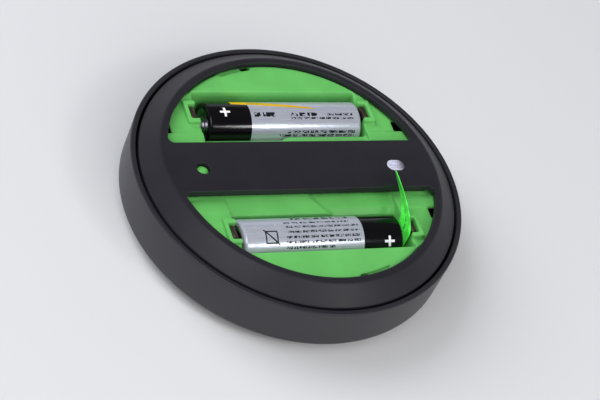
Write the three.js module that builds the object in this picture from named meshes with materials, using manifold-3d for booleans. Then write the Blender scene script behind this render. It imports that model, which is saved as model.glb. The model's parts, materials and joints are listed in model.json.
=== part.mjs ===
// A compact round digital scale, lying on its platform with the battery bays facing up.
// Millimetres, +Z up. The origin is the centre of the platform's flat face.
import * as THREE from "three";
import { mergeVertices } from "three/addons/utils/BufferGeometryUtils.js";
import Module from "manifold-3d";

const wasm = await Module();
wasm.setup();

// Clearances
const FIT = 0.3; // between pieces that are fastened or laid together
const TRAVEL = 0.5; // how far the loaded platform sinks towards the base

// Overall
const SHELL_RADIUS = 50;
const TOTAL_HEIGHT = 22; // platform face to foot face
const FOOT_RISE = 4; // foot face above the shell's rim

// Outer shell and platform plate
const SHELL_WALL = 1.6;
const BEVEL_WIDTH = 5.4;
const BEVEL_HEIGHT = 3.9;
const LIP_WIDTH = 0.6; // shell edge around the plate
const FLOOR_THICKNESS = 1.4;
const PLATE_THICKNESS = 1.8;
const PAD_HEIGHT = 1.1; // pad under the load cell's moving end

// Base cover
const FLOAT_GAP = 0.7; // ring gap between base and shell
const CONE_WIDTH = 4.65;
const CONE_FILLET = 1.6;
const FOOT_WIDTH = 2.85; // flat foot ring between cone and windows
const COVER_THICKNESS = 1.8;
const SKIRT_HEIGHT = 11.5;
const SKIRT_WALL = 1.4;
const BAR_HALF_WIDTH = 9;
const WINDOW_CORNER = 1.8;
const BAR_LIP_WIDTH = 1.2;
const BAR_LIP_DROP = 0.5;

// AA cells
const CELL_LENGTH = 50.5;
const CELL_RADIUS = 7.1;
const CELL_SLEEVE = 0.25;
const SLEEVE_CURL = 1.6; // how far the sleeve laps over each end of the can
const CAN_CHAMFER = 0.9;
const NUB_RADIUS = 2.7;
const NUB_HEIGHT = 1.4;
const CELL_SPACING = 43.8; // between the two axes
const CELL_DEPTH = 8; // axis below the foot face
const CELL_END_ROOM = 0.8;
const CELL_SIDE_ROOM = 0.3;

// Battery tray
const TRAY_SKIN = 0.8;
const TRAY_LEDGE = 1.4; // tray flange beyond the window edge
const FLANGE_THICKNESS = 1.3;
const DECK_DEPTH = 1.4; // deck below the foot face
const END_FLOOR_DEPTH = 2.7; // floor round the contacts below the foot face
const DECK_EDGE_ROUND = 1.2;
const RIDGE_DEPTH = 4.5; // inner edge of each bay below the foot face
const SHOULDER_DEPTH = 3.3; // where the shoulder meets the bar
const RELIEF_DEPTH = 0.5; // finger relief in each shoulder
const RELIEF_RIDGE_SHIFT = 2; // how far the relief moves the ridge towards the bar
const RELIEF_TOE_DEPTH = 6.1; // foot of the relief's steep face below the foot face
const RELIEF_STEP_X = [-2, 3]; // where the relief's slanting step meets the bar and the ridge
const RELIEF_STEP_WIDTH = 2.2;
const GUTTER_DEPTH = 0.6; // slanting strip beside the bar: its low edge below the end floor
const GUTTER_CREST = 0.35; // its high edge above the end floor
const GUTTER_EDGE_Y = 14.4;
const END_RAMP_WIDTH = 3;

// Contact pockets
const POCKET_DEPTH = 2.5; // past the end of the bay
const POCKET_WIDTH = 5.4;
const FRAME_WALL = 1.5;
const FRAME_RISE = 1.5;

// Battery contacts
const STRIP_THICKNESS = 0.4;
const STRIP_WIDTH = 4;
const FOLD_RADIUS = 0.85;
const LINK_WIDTH = 1.1;

// Cover catches: two long ones along the rim, at angles in degrees, and a square one in each corner
const LONG_CATCHES = [105.5, 285.5];
const LONG_CATCH_LENGTH = 10.6;
const LONG_CATCH_WIDTH = 1.1;
const LONG_CATCH_DEPTH = 0.6;
const CATCH_NOTCH_TURN = -6.2;
const CATCH_NOTCH = 2.8;
const CORNER_CATCH_X = 35.7;
const CORNER_CATCH_Y = 14.9;
const CORNER_CATCH_LENGTH = 3.9;

// Load cell
const BEAM_LENGTH = 56;
const BEAM_WIDTH = 12.7;
const BEAM_HEIGHT = 9;
const BEAM_CENTRE_X = 2;
const BEAM_WINDOW_RADIUS = 3;
const BEAM_WINDOW_SPACING = 8;
const BEAM_SCREW_INSET = 4;
const BEAM_SCREW_PITCH = 8;
const BEAM_SCREW_RADIUS = 1.9;
const BEAM_HEAD_RADIUS = 3.2;
const BEAM_HEAD_HEIGHT = 2.4;
const FLAT_HEAD_HEIGHT = 1.3;
const BOSS_WALL = 1;
const GAUGE_SEAL_LENGTH = 14;
const GAUGE_SEAL_WIDTH = 10;
const GAUGE_SEAL_HEIGHT = 0.8;

// Tray screws
const TRAY_SCREW_X = 35.5;
const TRAY_SCREW_Y = 5.2;
const TRAY_SCREW_RADIUS = 1.2;
const TRAY_HEAD_RADIUS = 2.4;
const TRAY_HEAD_HEIGHT = 1.4;
const CUP_DROP = 3;

// Control board
const BOARD_THICKNESS = 1;
const BOARD_LIFT = 0.7; // above the shell's floor
const BOARD_DEPTH = 31; // to the edge away from the load cell
const PEG_RADIUS = 1;
const CHIP_SIZE = [7, 3.4, 1.2];
const DISPLAY_LENGTH = 38;
const DISPLAY_WIDTH = 12;
const DISPLAY_HEIGHT = 1.3;
const DISPLAY_OFFSET = 22;
const WINDOW_BORDER = 1;

// Unit button and its switch
const BUTTON_X = -31.2;
const BUTTON_Y = -0.6;
const BUTTON_RADIUS = 1.8;
const BUTTON_ROOM = 0.2;
const BUTTON_RECESS = 0.9; // below the foot face
const BUTTON_STROKE = 0.4;
const BUTTON_FLANGE_WIDTH = 0.8;
const BUTTON_FLANGE_HEIGHT = 1.1;
const SWITCH_SIZE = 4.2;
const SWITCH_HEIGHT = 3.2;
const PLUNGER_RADIUS = 1;
const PLUNGER_RISE = 1.5;

// Wires
const BATTERY_LEAD_RADIUS = 0.5;
const SENSOR_LEAD_RADIUS = 0.6;
const LEAD_SIDES = 8;

// Pull ribbon
const FILM_THICKNESS = 0.25;
const FILM_WIDTH = 7;

// Paper seal on the bar
const SEAL_X = 29.4;
const SEAL_Y = -0.7;
const SEAL_LENGTH = 5.6;
const SEAL_WIDTH = 3.9;
const SEAL_THICKNESS = 0.25;
const SEAL_RECESS = 0.4;

const ROUND_SIDES = 72;
const SMALL_SIDES = 20;
const CELL_SIDES = 36;

// Levels and radii that follow from the sizes above
const footZ = TOTAL_HEIGHT;
const rimZ = footZ - FOOT_RISE;
const coverUnderZ = footZ - COVER_THICKNESS;
const coverRadius = SHELL_RADIUS - SHELL_WALL - FLOAT_GAP;
const footRadius = coverRadius - CONE_WIDTH;
const windowRadius = footRadius - FOOT_WIDTH;
const plateRadius = SHELL_RADIUS - BEVEL_WIDTH - LIP_WIDTH - FIT;
const floorUnderZ = PLATE_THICKNESS + FIT;
const floorTopZ = floorUnderZ + FLOOR_THICKNESS;
const padTopZ = floorTopZ + PAD_HEIGHT;
const beamZ = padTopZ + TRAVEL + 0.1;
const beamTopZ = beamZ + BEAM_HEIGHT;
const beamStartX = BEAM_CENTRE_X - BEAM_LENGTH / 2;
const beamEndX = BEAM_CENTRE_X + BEAM_LENGTH / 2;
const boardZ = floorTopZ + BOARD_LIFT;
const boardTopZ = boardZ + BOARD_THICKNESS;
const cellY = CELL_SPACING / 2;
const cellZ = footZ - CELL_DEPTH;
const bayRadius = CELL_RADIUS + CELL_SIDE_ROOM;
const bayHalfLength = CELL_LENGTH / 2 + CELL_END_ROOM + 0.25;
const bayOuterY = cellY + bayRadius + DECK_EDGE_ROUND * 0.4;
const flangeTopZ = coverUnderZ - FIT;
const flangeZ = flangeTopZ - FLANGE_THICKNESS;
const deckZ = footZ - DECK_DEPTH;
const endFloorZ = footZ - END_FLOOR_DEPTH;
const ridgeY = cellY - bayRadius;
const ridgeZ = footZ - RIDGE_DEPTH;
const shoulderZ = footZ - SHOULDER_DEPTH;
const toeZ = footZ - RELIEF_TOE_DEPTH;
const lipZ = coverUnderZ - BAR_LIP_DROP;
const lipReach = windowRadius - WINDOW_CORNER - TRAY_LEDGE;
const lipInnerY = BAR_HALF_WIDTH - BAR_LIP_WIDTH - FIT;
const gutterZ = endFloorZ - GUTTER_DEPTH;
const pocketEndX = bayHalfLength + POCKET_DEPTH;
const frameEndX = pocketEndX + 1.2;
const legX = pocketEndX - STRIP_THICKNESS / 2 - 0.1;
const legBottomZ = boardTopZ + 1.7;
const pocketFloorZ = legBottomZ + 0.5;
const baseScrewXs = [0, 1].map((i) => beamStartX + BEAM_SCREW_INSET + i * BEAM_SCREW_PITCH);
const platformScrewXs = [0, 1].map((i) => beamEndX - BEAM_SCREW_INSET - i * BEAM_SCREW_PITCH);
const bossRadius = BEAM_SCREW_RADIUS + FIT + BOSS_WALL;
const trayBossRadius = TRAY_SCREW_RADIUS + FIT + BOSS_WALL;
const cupFloorZ = flangeZ - CUP_DROP;
const traySpots = [-1, 1].flatMap((sx) => [-1, 1].map((sy) => [sx * TRAY_SCREW_X, sy * TRAY_SCREW_Y]));
const switchZ = boardTopZ + FIT;
const plungerTopZ = switchZ + SWITCH_HEIGHT + PLUNGER_RISE;
const pegSpots = [-1, 1].map((side) => [side * 24, -cellY]);

// Solids from three.js geometries
function solid(geometry) {
  const bare = new THREE.BufferGeometry();
  bare.setAttribute("position", geometry.getAttribute("position"));
  bare.setIndex(geometry.getIndex());
  const merged = mergeVertices(bare, 1e-4);
  const vertProperties = new Float32Array(merged.attributes.position.array);
  const triVerts = new Uint32Array(merged.index.array);
  return new wasm.Manifold(new wasm.Mesh({ numProp: 3, vertProperties, triVerts }));
}

function geometryOf(shape) {
  const mesh = shape.getMesh();
  const geometry = new THREE.BufferGeometry();
  geometry.setAttribute("position", new THREE.BufferAttribute(mesh.vertProperties, 3));
  geometry.setIndex(new THREE.BufferAttribute(mesh.triVerts, 1));
  return geometry;
}

function block(x0, x1, y0, y1, z0, z1) {
  const box = new THREE.BoxGeometry(x1 - x0, y1 - y0, z1 - z0);
  box.translate((x0 + x1) / 2, (y0 + y1) / 2, (z0 + z1) / 2);
  return solid(box);
}

function rod(x, y, radius, z0, z1, sides = SMALL_SIDES) {
  const cylinder = new THREE.CylinderGeometry(radius, radius, z1 - z0, sides);
  cylinder.rotateX(Math.PI / 2);
  cylinder.translate(x, y, (z0 + z1) / 2);
  return solid(cylinder);
}

// A turned solid: the profile runs [radius, z] with the material on its left.
function turned(profile, sides = ROUND_SIDES) {
  const points = profile.map(([r, z]) => new THREE.Vector2(r, z));
  const lathe = new THREE.LatheGeometry(points, sides);
  lathe.rotateX(Math.PI / 2);
  return solid(lathe);
}

function arcPoints(cx, cy, radius, from, to, steps) {
  const points = [];
  for (let i = 0; i <= steps; i++) {
    const angle = ((from + ((to - from) * i) / steps) * Math.PI) / 180;
    points.push([cx + radius * Math.cos(angle), cy + radius * Math.sin(angle)]);
  }
  return points;
}

function outline(points) {
  return new THREE.Shape(points.map(([a, b]) => new THREE.Vector2(a, b)));
}

function risen(shape, z0, z1, curveSegments = 12) {
  const geometry = new THREE.ExtrudeGeometry(shape, { depth: z1 - z0, bevelEnabled: false, curveSegments });
  geometry.translate(0, 0, z0);
  return solid(geometry);
}

// A [y, z] outline drawn out along X.
function alongX(points, x0, x1) {
  const geometry = new THREE.ExtrudeGeometry(outline(points), { depth: x1 - x0, bevelEnabled: false });
  geometry.applyMatrix4(new THREE.Matrix4().set(0, 0, 1, x0, 1, 0, 0, 0, 0, 1, 0, 0, 0, 0, 0, 1));
  return solid(geometry);
}

// An [x, z] outline drawn out along Y.
function alongY(points, y0, y1) {
  const flipped = points.map(([x, z]) => [-x, z]).reverse();
  const geometry = new THREE.ExtrudeGeometry(outline(flipped), { depth: y1 - y0, bevelEnabled: false });
  geometry.applyMatrix4(new THREE.Matrix4().set(-1, 0, 0, 0, 0, 0, 1, y0, 0, 1, 0, 0, 0, 0, 0, 1));
  return solid(geometry);
}

function joined(pieces) {
  return pieces.reduce((whole, piece) => whole.add(piece));
}

function without(whole, cuts) {
  return cuts.reduce((left, cut) => left.subtract(cut), whole);
}

function lead(points, radius) {
  const path = new THREE.CatmullRomCurve3(points.map((p) => new THREE.Vector3(...p)));
  const section = outline(arcPoints(0, 0, radius, 0, 360 - 360 / LEAD_SIDES, LEAD_SIDES - 1));
  const steps = Math.ceil(path.getLength() / (5 * radius));
  return solid(new THREE.ExtrudeGeometry(section, { steps, extrudePath: path, curveSegments: 1 }));
}

// One window: a round segment beyond the bar, with rounded corners. side is +1 or -1.
function windowShape(side, radius, barHalf, corner) {
  const centreY = barHalf + corner;
  const centreX = Math.sqrt((radius - corner) ** 2 - centreY ** 2);
  const tilt = (Math.atan2(centreY, centreX) * 180) / Math.PI;
  const points = [
    ...arcPoints(centreX, centreY, corner, -90, tilt, 5),
    ...arcPoints(0, 0, radius, tilt, 180 - tilt, 40).slice(1, -1),
    ...arcPoints(-centreX, centreY, corner, 180 - tilt, 270, 5),
  ];
  return side > 0 ? outline(points) : outline(points.map(([x, y]) => [-x, -y]));
}

// The shell that floats round the base and carries the platform plate
function outerShell() {
  const round = 0.5;
  const inner = SHELL_RADIUS - SHELL_WALL;
  const cup = turned([
    [0, floorUnderZ],
    [plateRadius + FIT, floorUnderZ],
    [plateRadius + FIT, 0],
    [SHELL_RADIUS - BEVEL_WIDTH, 0],
    [SHELL_RADIUS - 0.9, BEVEL_HEIGHT - 0.5],
    ...arcPoints(SHELL_RADIUS - 1.4, BEVEL_HEIGHT + 0.9, 1.4, -40, 0, 3),
    ...arcPoints(SHELL_RADIUS - round, rimZ - round, round, 0, 90, 3),
    ...arcPoints(inner + round, rimZ - round, round, 90, 180, 3),
    [inner, BEVEL_HEIGHT + 1.3],
    [inner - 1.8, floorTopZ],
    [0, floorTopZ],
  ]);
  const sealEnd = BEAM_CENTRE_X + GAUGE_SEAL_LENGTH / 2;
  const padStart = Math.max(Math.min(...platformScrewXs) - 5, sealEnd + 2 * FIT);
  const pad = block(padStart, beamEndX, -6, 6, floorTopZ - 0.2, padTopZ);
  const half = [DISPLAY_LENGTH / 2 + 1.5, DISPLAY_WIDTH / 2 + 1.5];
  const opening = block(
    -half[0], half[0], -DISPLAY_OFFSET - half[1], -DISPLAY_OFFSET + half[1], floorUnderZ - 1, floorTopZ + 1,
  );
  const holes = platformScrewXs.flatMap((x) => [
    rod(x, 0, BEAM_SCREW_RADIUS + FIT, floorUnderZ - 1, padTopZ + 1),
    rod(x, 0, BEAM_HEAD_RADIUS + FIT, floorUnderZ - 1, floorUnderZ + FLAT_HEAD_HEIGHT + 0.5),
  ]);
  return without(cup.add(pad), [opening, ...holes]);
}

function displayOpening(grow, z0, z1) {
  const x = DISPLAY_LENGTH / 2 - WINDOW_BORDER + grow;
  const y = DISPLAY_WIDTH / 2 - WINDOW_BORDER + grow;
  return block(-x, x, -DISPLAY_OFFSET - y, -DISPLAY_OFFSET + y, z0, z1);
}

function platformPlate() {
  const edge = 0.4;
  const disc = turned([
    [0, 0],
    [plateRadius - edge, 0],
    [plateRadius, edge],
    [plateRadius, PLATE_THICKNESS],
    [0, PLATE_THICKNESS],
  ]);
  return disc.subtract(displayOpening(FIT, -1, PLATE_THICKNESS + 1));
}

// The fixed base: skirt, cone, foot ring and the bar between two windows
function baseCover() {
  const filletX = footRadius - CONE_FILLET * 0.3;
  const coneInner = coverRadius - SKIRT_WALL;
  const body = turned([
    [0, coverUnderZ],
    [footRadius - 0.7, coverUnderZ],
    [coneInner, rimZ - 0.8],
    [coneInner, rimZ - SKIRT_HEIGHT],
    [coverRadius, rimZ - SKIRT_HEIGHT],
    [coverRadius, rimZ - 0.4],
    [coverRadius - 0.3, rimZ],
    [footRadius + 0.5, footZ - 0.5],
    [footRadius, footZ - 0.18],
    [filletX, footZ],
    [0, footZ],
  ]);
  const lips = [-1, 1].map((side) => {
    const y0 = side > 0 ? BAR_HALF_WIDTH - BAR_LIP_WIDTH : -BAR_HALF_WIDTH;
    return block(-lipReach, lipReach, y0, y0 + BAR_LIP_WIDTH, lipZ, coverUnderZ + 0.2);
  });
  const bosses = baseScrewXs.map((x) => rod(x, 0, bossRadius, beamTopZ + FIT, coverUnderZ + 0.2));
  const bossTop = coverUnderZ + 0.2;
  const trayBosses = traySpots.map(([x, y]) => rod(x, y, trayBossRadius, cupFloorZ + 1.5, bossTop));
  const windows = [-1, 1].map((side) =>
    risen(windowShape(side, windowRadius, BAR_HALF_WIDTH, WINDOW_CORNER), coverUnderZ - 5, footZ + 1),
  );
  const pilots = baseScrewXs.map((x) => rod(x, 0, BEAM_SCREW_RADIUS + FIT, beamZ, footZ - 1));
  const trayPilots = traySpots.map(([x, y]) => rod(x, y, TRAY_SCREW_RADIUS + FIT, cupFloorZ, footZ - 1));
  const buttonHole = rod(BUTTON_X, BUTTON_Y, BUTTON_RADIUS + BUTTON_ROOM, coverUnderZ - 1, footZ + 1, 32);
  const recess = pill(SEAL_X, SEAL_Y, SEAL_LENGTH + 0.3, SEAL_WIDTH + 0.3, footZ - SEAL_RECESS, footZ + 1);
  return without(joined([body, ...lips, ...bosses, ...trayBosses]), [
    ...windows, ...pilots, ...trayPilots, buttonHole, recess,
  ]);
}

// The [y, z] outline of one bay from the shoulder beside the bar to the deck's edge
function bayOutline(side, shoulder) {
  const wallY = cellY + bayRadius;
  const points = [
    [lipInnerY, deckZ + 1],
    ...shoulder,
    ...arcPoints(cellY, cellZ, bayRadius, 180, 360, 14),
    [wallY, deckZ - DECK_EDGE_ROUND * 1.2],
    [wallY + DECK_EDGE_ROUND * 0.15, deckZ - DECK_EDGE_ROUND * 0.45],
    [bayOuterY, deckZ],
    [bayOuterY, deckZ + 1],
  ];
  return sided(points, side);
}

function sided(points, side) {
  return side > 0 ? points : points.map(([y, z]) => [-y, z]).reverse();
}

function trayBays(side) {
  const skinRadius = bayRadius + TRAY_SKIN;
  const bodyTop = flangeZ + 0.2;
  const shellPoints = [
    [cellY + skinRadius, bodyTop],
    [cellY - skinRadius, bodyTop],
    ...arcPoints(cellY, cellZ, skinRadius, 180, 360, 14),
  ];
  const x = bayHalfLength + 1.2;
  const far = Math.hypot(lipReach, BAR_HALF_WIDTH) - 4;
  const shelf = (farY, under) => [[lipInnerY, bodyTop], [lipInnerY, under], [farY, under], [farY, bodyTop]];
  return [
    alongX(sided(shellPoints, side), -x, x),
    alongX(sided(shelf(ridgeY + 0.5, toeZ - TRAY_SKIN), side), -x, x),
    alongX(sided(shelf(GUTTER_EDGE_Y, gutterZ - TRAY_SKIN), side), -far, far),
  ];
}

function trayEnds(side, end) {
  const reach = POCKET_WIDTH / 2 + FRAME_WALL;
  const x0 = end > 0 ? bayHalfLength - 0.1 : -frameEndX;
  const x1 = end > 0 ? frameEndX : -bayHalfLength + 0.1;
  const y = side * cellY;
  return [
    block(x0, x1, y - reach, y + reach, pocketFloorZ, flangeZ + 0.2),
    block(x0, x1, y - reach, y + reach, flangeZ, endFloorZ + FRAME_RISE),
  ];
}

// The sunk floor round each contact pocket, with a slanting gutter beside the bar
function endFloorCut(side, end) {
  const points = [
    [lipInnerY, deckZ + 1],
    [lipInnerY, gutterZ],
    [BAR_HALF_WIDTH, gutterZ],
    [GUTTER_EDGE_Y, endFloorZ + GUTTER_CREST],
    [GUTTER_EDGE_Y + 0.2, endFloorZ],
    [bayOuterY - END_RAMP_WIDTH, endFloorZ],
    [bayOuterY, deckZ],
    [bayOuterY, deckZ + 1],
  ];
  const near = bayHalfLength - 0.2;
  const far = windowRadius + 2;
  return alongX(sided(points, side), end > 0 ? near : -far, end > 0 ? far : -near);
}

function pocketCuts(side, end) {
  const y = side * cellY;
  const span = (a, b) => (end > 0 ? [a, b] : [-b, -a]);
  const [p0, p1] = span(bayHalfLength - 0.5, pocketEndX);
  const [l0, l1] = span(bayHalfLength + 1.5, pocketEndX);
  const half = POCKET_WIDTH / 2;
  return [
    block(p0, p1, y - half, y + half, pocketFloorZ + 1.5, footZ),
    block(l0, l1, y - half + 0.2, y + half - 0.2, pocketFloorZ - 1, pocketFloorZ + 2),
  ];
}

function rimCut(angle, length, z0) {
  const inner = windowRadius - FIT - LONG_CATCH_WIDTH;
  const radius = inner + LONG_CATCH_WIDTH / 2;
  const half = (length / radius) * (90 / Math.PI);
  const points = [
    ...arcPoints(0, 0, inner, angle + half, angle - half, 8),
    ...arcPoints(0, 0, windowRadius + 0.8, angle - half, angle + half, 8),
  ];
  return risen(outline(points), z0, footZ);
}

function cornerCatchCut(side, end) {
  const x = end * (CORNER_CATCH_X + 2);
  const y = side * (CORNER_CATCH_Y + CORNER_CATCH_LENGTH / 2);
  const half = CORNER_CATCH_LENGTH / 2;
  return block(x - 2, x + 2, y - half, y + half, flangeZ - 1, footZ);
}

// The finger relief that lowers one end of a shoulder. Its step slants across the shoulder.
function reliefCut(side) {
  const fall = (shoulderZ - ridgeZ) / (ridgeY - BAR_HALF_WIDTH);
  const reliefY = ridgeY - RELIEF_RIDGE_SHIFT;
  const shoulder = [
    [lipInnerY, shoulderZ - RELIEF_DEPTH],
    [BAR_HALF_WIDTH, shoulderZ - RELIEF_DEPTH],
    [reliefY, shoulderZ - fall * (reliefY - BAR_HALF_WIDTH) - RELIEF_DEPTH],
    [cellY - Math.sqrt(bayRadius ** 2 - (toeZ - cellZ) ** 2), toeZ],
  ];
  const lowered = alongX(bayOutline(side, shoulder), -bayHalfLength, bayHalfLength);
  const step = [
    [0, 0.4],
    [RELIEF_STEP_WIDTH, -RELIEF_DEPTH],
    [RELIEF_STEP_WIDTH * 2, -9],
    [80, -9],
    [80, 9],
    [0, 9],
  ];
  const prism = new THREE.ExtrudeGeometry(outline(step), { depth: 80, bevelEnabled: false });
  prism.translate(0, 0, -40);
  const [barX, ridgeX] = RELIEF_STEP_X;
  const line = new THREE.Vector2(ridgeX - barX, side * (ridgeY - BAR_HALF_WIDTH)).normalize();
  const across = new THREE.Vector2(-line.y, line.x);
  const along = new THREE.Vector2(across.y, -across.x);
  const baseZ = shoulderZ + fall * BAR_HALF_WIDTH;
  const slant = -fall * side;
  const startY = side * BAR_HALF_WIDTH;
  prism.applyMatrix4(new THREE.Matrix4().set(
    across.x, 0, along.x, barX,
    across.y, 0, along.y, startY,
    slant * across.y, 1, slant * along.y, baseZ + slant * startY,
    0, 0, 0, 1,
  ));
  return lowered.intersect(solid(prism));
}

function batteryTray() {
  const sides = [1, -1];
  const ends = [1, -1];
  const radius = windowRadius + TRAY_LEDGE;
  const flange = rod(0, 0, radius, flangeZ, flangeTopZ, ROUND_SIDES);
  const decks = sides.map((side) =>
    risen(windowShape(side, windowRadius - FIT, BAR_HALF_WIDTH + FIT, WINDOW_CORNER), flangeZ, deckZ),
  );
  const floors = without(joined([flange, ...decks, ...sides.flatMap(trayBays)]),
    sides.flatMap((side) => ends.map((end) => endFloorCut(side, end))));
  const pockets = sides.flatMap((side) => ends.flatMap((end) => trayEnds(side, end)));
  const cups = traySpots.map(([x, y]) => rod(x, y, trayBossRadius + FIT + 0.7, cupFloorZ, flangeZ + 0.2));
  const pegs = pegSpots.map(([x, y]) => rod(x, y, PEG_RADIUS, boardZ, cellZ - bayRadius - 0.2, 16));
  const whole = joined([floors, ...pockets, ...cups]);
  const shoulder = [
    [lipInnerY, shoulderZ],
    [BAR_HALF_WIDTH, shoulderZ],
    [ridgeY, ridgeZ],
    [ridgeY, ridgeZ - 0.5],
  ];
  const bays = sides.map((side) => alongX(bayOutline(side, shoulder), -bayHalfLength, bayHalfLength));
  const cuts = [
    ...bays,
    ...sides.map(reliefCut),
    ...sides.flatMap((side) => ends.flatMap((end) => pocketCuts(side, end))),
    ...traySpots.map(([x, y]) => rod(x, y, trayBossRadius + FIT, cupFloorZ + 1.2, footZ)),
    ...traySpots.map(([x, y]) => rod(x, y, TRAY_SCREW_RADIUS + FIT, cupFloorZ - 1, footZ)),
    ...baseScrewXs.map((x) => rod(x, 0, bossRadius + FIT, flangeZ - 1, footZ)),
    ...LONG_CATCHES.map((angle) => rimCut(angle, LONG_CATCH_LENGTH, deckZ - LONG_CATCH_DEPTH)),
    ...LONG_CATCHES.map((angle) => rimCut(angle + CATCH_NOTCH_TURN, CATCH_NOTCH, flangeZ - 1)),
    ...sides.flatMap((side) => ends.map((end) => cornerCatchCut(side, end))),
    rod(BUTTON_X, BUTTON_Y, BUTTON_RADIUS + FIT, flangeZ - 1, footZ),
  ];
  return without(whole, cuts).add(joined(pegs));
}

// One AA cell lying along X, its nub towards -X when toward is -1
function cellCan(side, toward) {
  const outer = CELL_RADIUS - CELL_SLEEVE - 0.05;
  const lap = CELL_SLEEVE + 0.1;
  const plateRadius = CELL_RADIUS - SLEEVE_CURL - 0.3;
  const shoulder = CELL_LENGTH - NUB_HEIGHT;
  const can = turned([
    [0, 0],
    [plateRadius - 0.1, 0],
    [plateRadius, lap],
    [outer - CAN_CHAMFER, lap],
    [outer, lap + CAN_CHAMFER],
    [outer, shoulder - lap - CAN_CHAMFER],
    [outer - CAN_CHAMFER, shoulder - lap],
    [NUB_RADIUS + 0.3, shoulder - lap],
    [NUB_RADIUS, shoulder - lap + 0.3],
    [NUB_RADIUS, CELL_LENGTH - 0.3],
    [NUB_RADIUS - 0.3, CELL_LENGTH],
    [0, CELL_LENGTH],
  ], CELL_SIDES);
  return placedCell(can, side, toward);
}

// The shrunk sleeve, lapped over both ends of the can
function cellSleeve(side, toward) {
  const inner = CELL_RADIUS - CELL_SLEEVE;
  const end = CELL_LENGTH - NUB_HEIGHT;
  const face = 0.05;
  const lap = face + CELL_SLEEVE;
  const mouth = CELL_RADIUS - SLEEVE_CURL;
  const sleeve = turned([
    [mouth, face],
    [CELL_RADIUS - CAN_CHAMFER, face],
    [CELL_RADIUS, face + CAN_CHAMFER],
    [CELL_RADIUS, end - face - CAN_CHAMFER],
    [CELL_RADIUS - CAN_CHAMFER, end - face],
    [mouth, end - face],
    [mouth, end - lap],
    [inner - CAN_CHAMFER, end - lap],
    [inner, end - lap - CAN_CHAMFER],
    [inner, lap + CAN_CHAMFER],
    [inner - CAN_CHAMFER, lap],
    [mouth, lap],
    [mouth, face],
  ], CELL_SIDES);
  return placedCell(sleeve, side, toward);
}

function placedCell(piece, side, toward) {
  const laid = piece.translate([0, 0, -CELL_LENGTH / 2]).rotate([0, toward * 90, 0]);
  return laid.translate([-toward * 0.25, side * cellY, cellZ]);
}

// A spring strip folded over at the top of its pocket: the outer leg, the fold and the bowed leaf
function contactStrip(side, end) {
  const foldTop = endFloorZ + FRAME_RISE - 0.5;
  const foldX = legX - FOLD_RADIUS;
  const leafX = foldX - FOLD_RADIUS;
  const bowX = bayHalfLength - 0.55 + STRIP_THICKNESS / 2;
  const foldZ = foldTop - FOLD_RADIUS - STRIP_THICKNESS / 2;
  const centre = [
    [legX, legBottomZ],
    [legX, foldZ],
    ...arcPoints(foldX, foldZ, FOLD_RADIUS, 0, 180, 6).slice(1),
    [leafX, cellZ + 3],
    [bowX + 0.1, cellZ + 1.2],
    [bowX, cellZ],
    [bowX + 0.1, cellZ - 1.2],
    [leafX, cellZ - 3],
  ];
  const half = STRIP_THICKNESS / 2;
  const normals = centre.map((point, i) => {
    const before = centre[Math.max(i - 1, 0)];
    const after = centre[Math.min(i + 1, centre.length - 1)];
    const length = Math.hypot(after[0] - before[0], after[1] - before[1]);
    return [-(after[1] - before[1]) / length, (after[0] - before[0]) / length];
  });
  const left = centre.map(([x, z], i) => [x + normals[i][0] * half, z + normals[i][1] * half]);
  const right = centre.map(([x, z], i) => [x - normals[i][0] * half, z - normals[i][1] * half]);
  const ring = [...right, ...left.reverse()];
  const points = end > 0 ? ring : ring.map(([x, z]) => [-x, z]).reverse();
  const y = side * cellY;
  return alongY(points, y - STRIP_WIDTH / 2, y + STRIP_WIDTH / 2);
}

function seriesLink() {
  const x = legX - 0.2;
  const z = legBottomZ - FIT - STRIP_THICKNESS;
  return block(-x - LINK_WIDTH / 2, -x + LINK_WIDTH / 2, -cellY - 2, cellY + 2, z, z + STRIP_THICKNESS);
}

// The load cell: a bar with a double hole through it, thin above and below each
function loadCellBeam() {
  const bar = block(beamStartX, beamEndX, -BEAM_WIDTH / 2, BEAM_WIDTH / 2, beamZ, beamTopZ);
  const midZ = (beamZ + beamTopZ) / 2;
  const half = BEAM_WINDOW_SPACING / 2;
  const eyes = [-half, half].map((offset) => {
    const points = arcPoints(BEAM_CENTRE_X + offset, midZ, BEAM_WINDOW_RADIUS, 0, 345, 23);
    return alongY(points, -BEAM_WIDTH, BEAM_WIDTH);
  });
  const [neckStart, neckEnd] = [BEAM_CENTRE_X - half, BEAM_CENTRE_X + half];
  const neck = block(neckStart, neckEnd, -BEAM_WIDTH, BEAM_WIDTH, midZ - 1, midZ + 1);
  const fixedHoles = baseScrewXs.flatMap((x) => [
    rod(x, 0, BEAM_SCREW_RADIUS + FIT, beamZ - 1, beamTopZ + 1),
    rod(x, 0, BEAM_HEAD_RADIUS + FIT, beamZ - 1, beamZ + BEAM_HEAD_HEIGHT + 2 * FIT),
  ]);
  const clearRadius = BEAM_SCREW_RADIUS + FIT;
  const movingHoles = platformScrewXs.map((x) => rod(x, 0, clearRadius, beamZ - 1, beamTopZ + 1));
  return without(bar, [...eyes, neck, ...fixedHoles, ...movingHoles]);
}

function screw(x, y, headRadius, headZ, headHeight, shaftRadius, shaftTop) {
  const head = turned([
    [0, 0],
    [headRadius - 0.3, 0],
    [headRadius, 0.3],
    [headRadius, headHeight],
    [shaftRadius, headHeight],
    [shaftRadius, shaftTop - headZ - 0.6],
    [shaftRadius - 0.6, shaftTop - headZ],
    [0, shaftTop - headZ],
  ], SMALL_SIDES);
  const recess = rod(0, 0, headRadius * 0.45, -1, headHeight * 0.5, 6);
  return head.subtract(recess).translate([x, y, headZ]);
}

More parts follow.
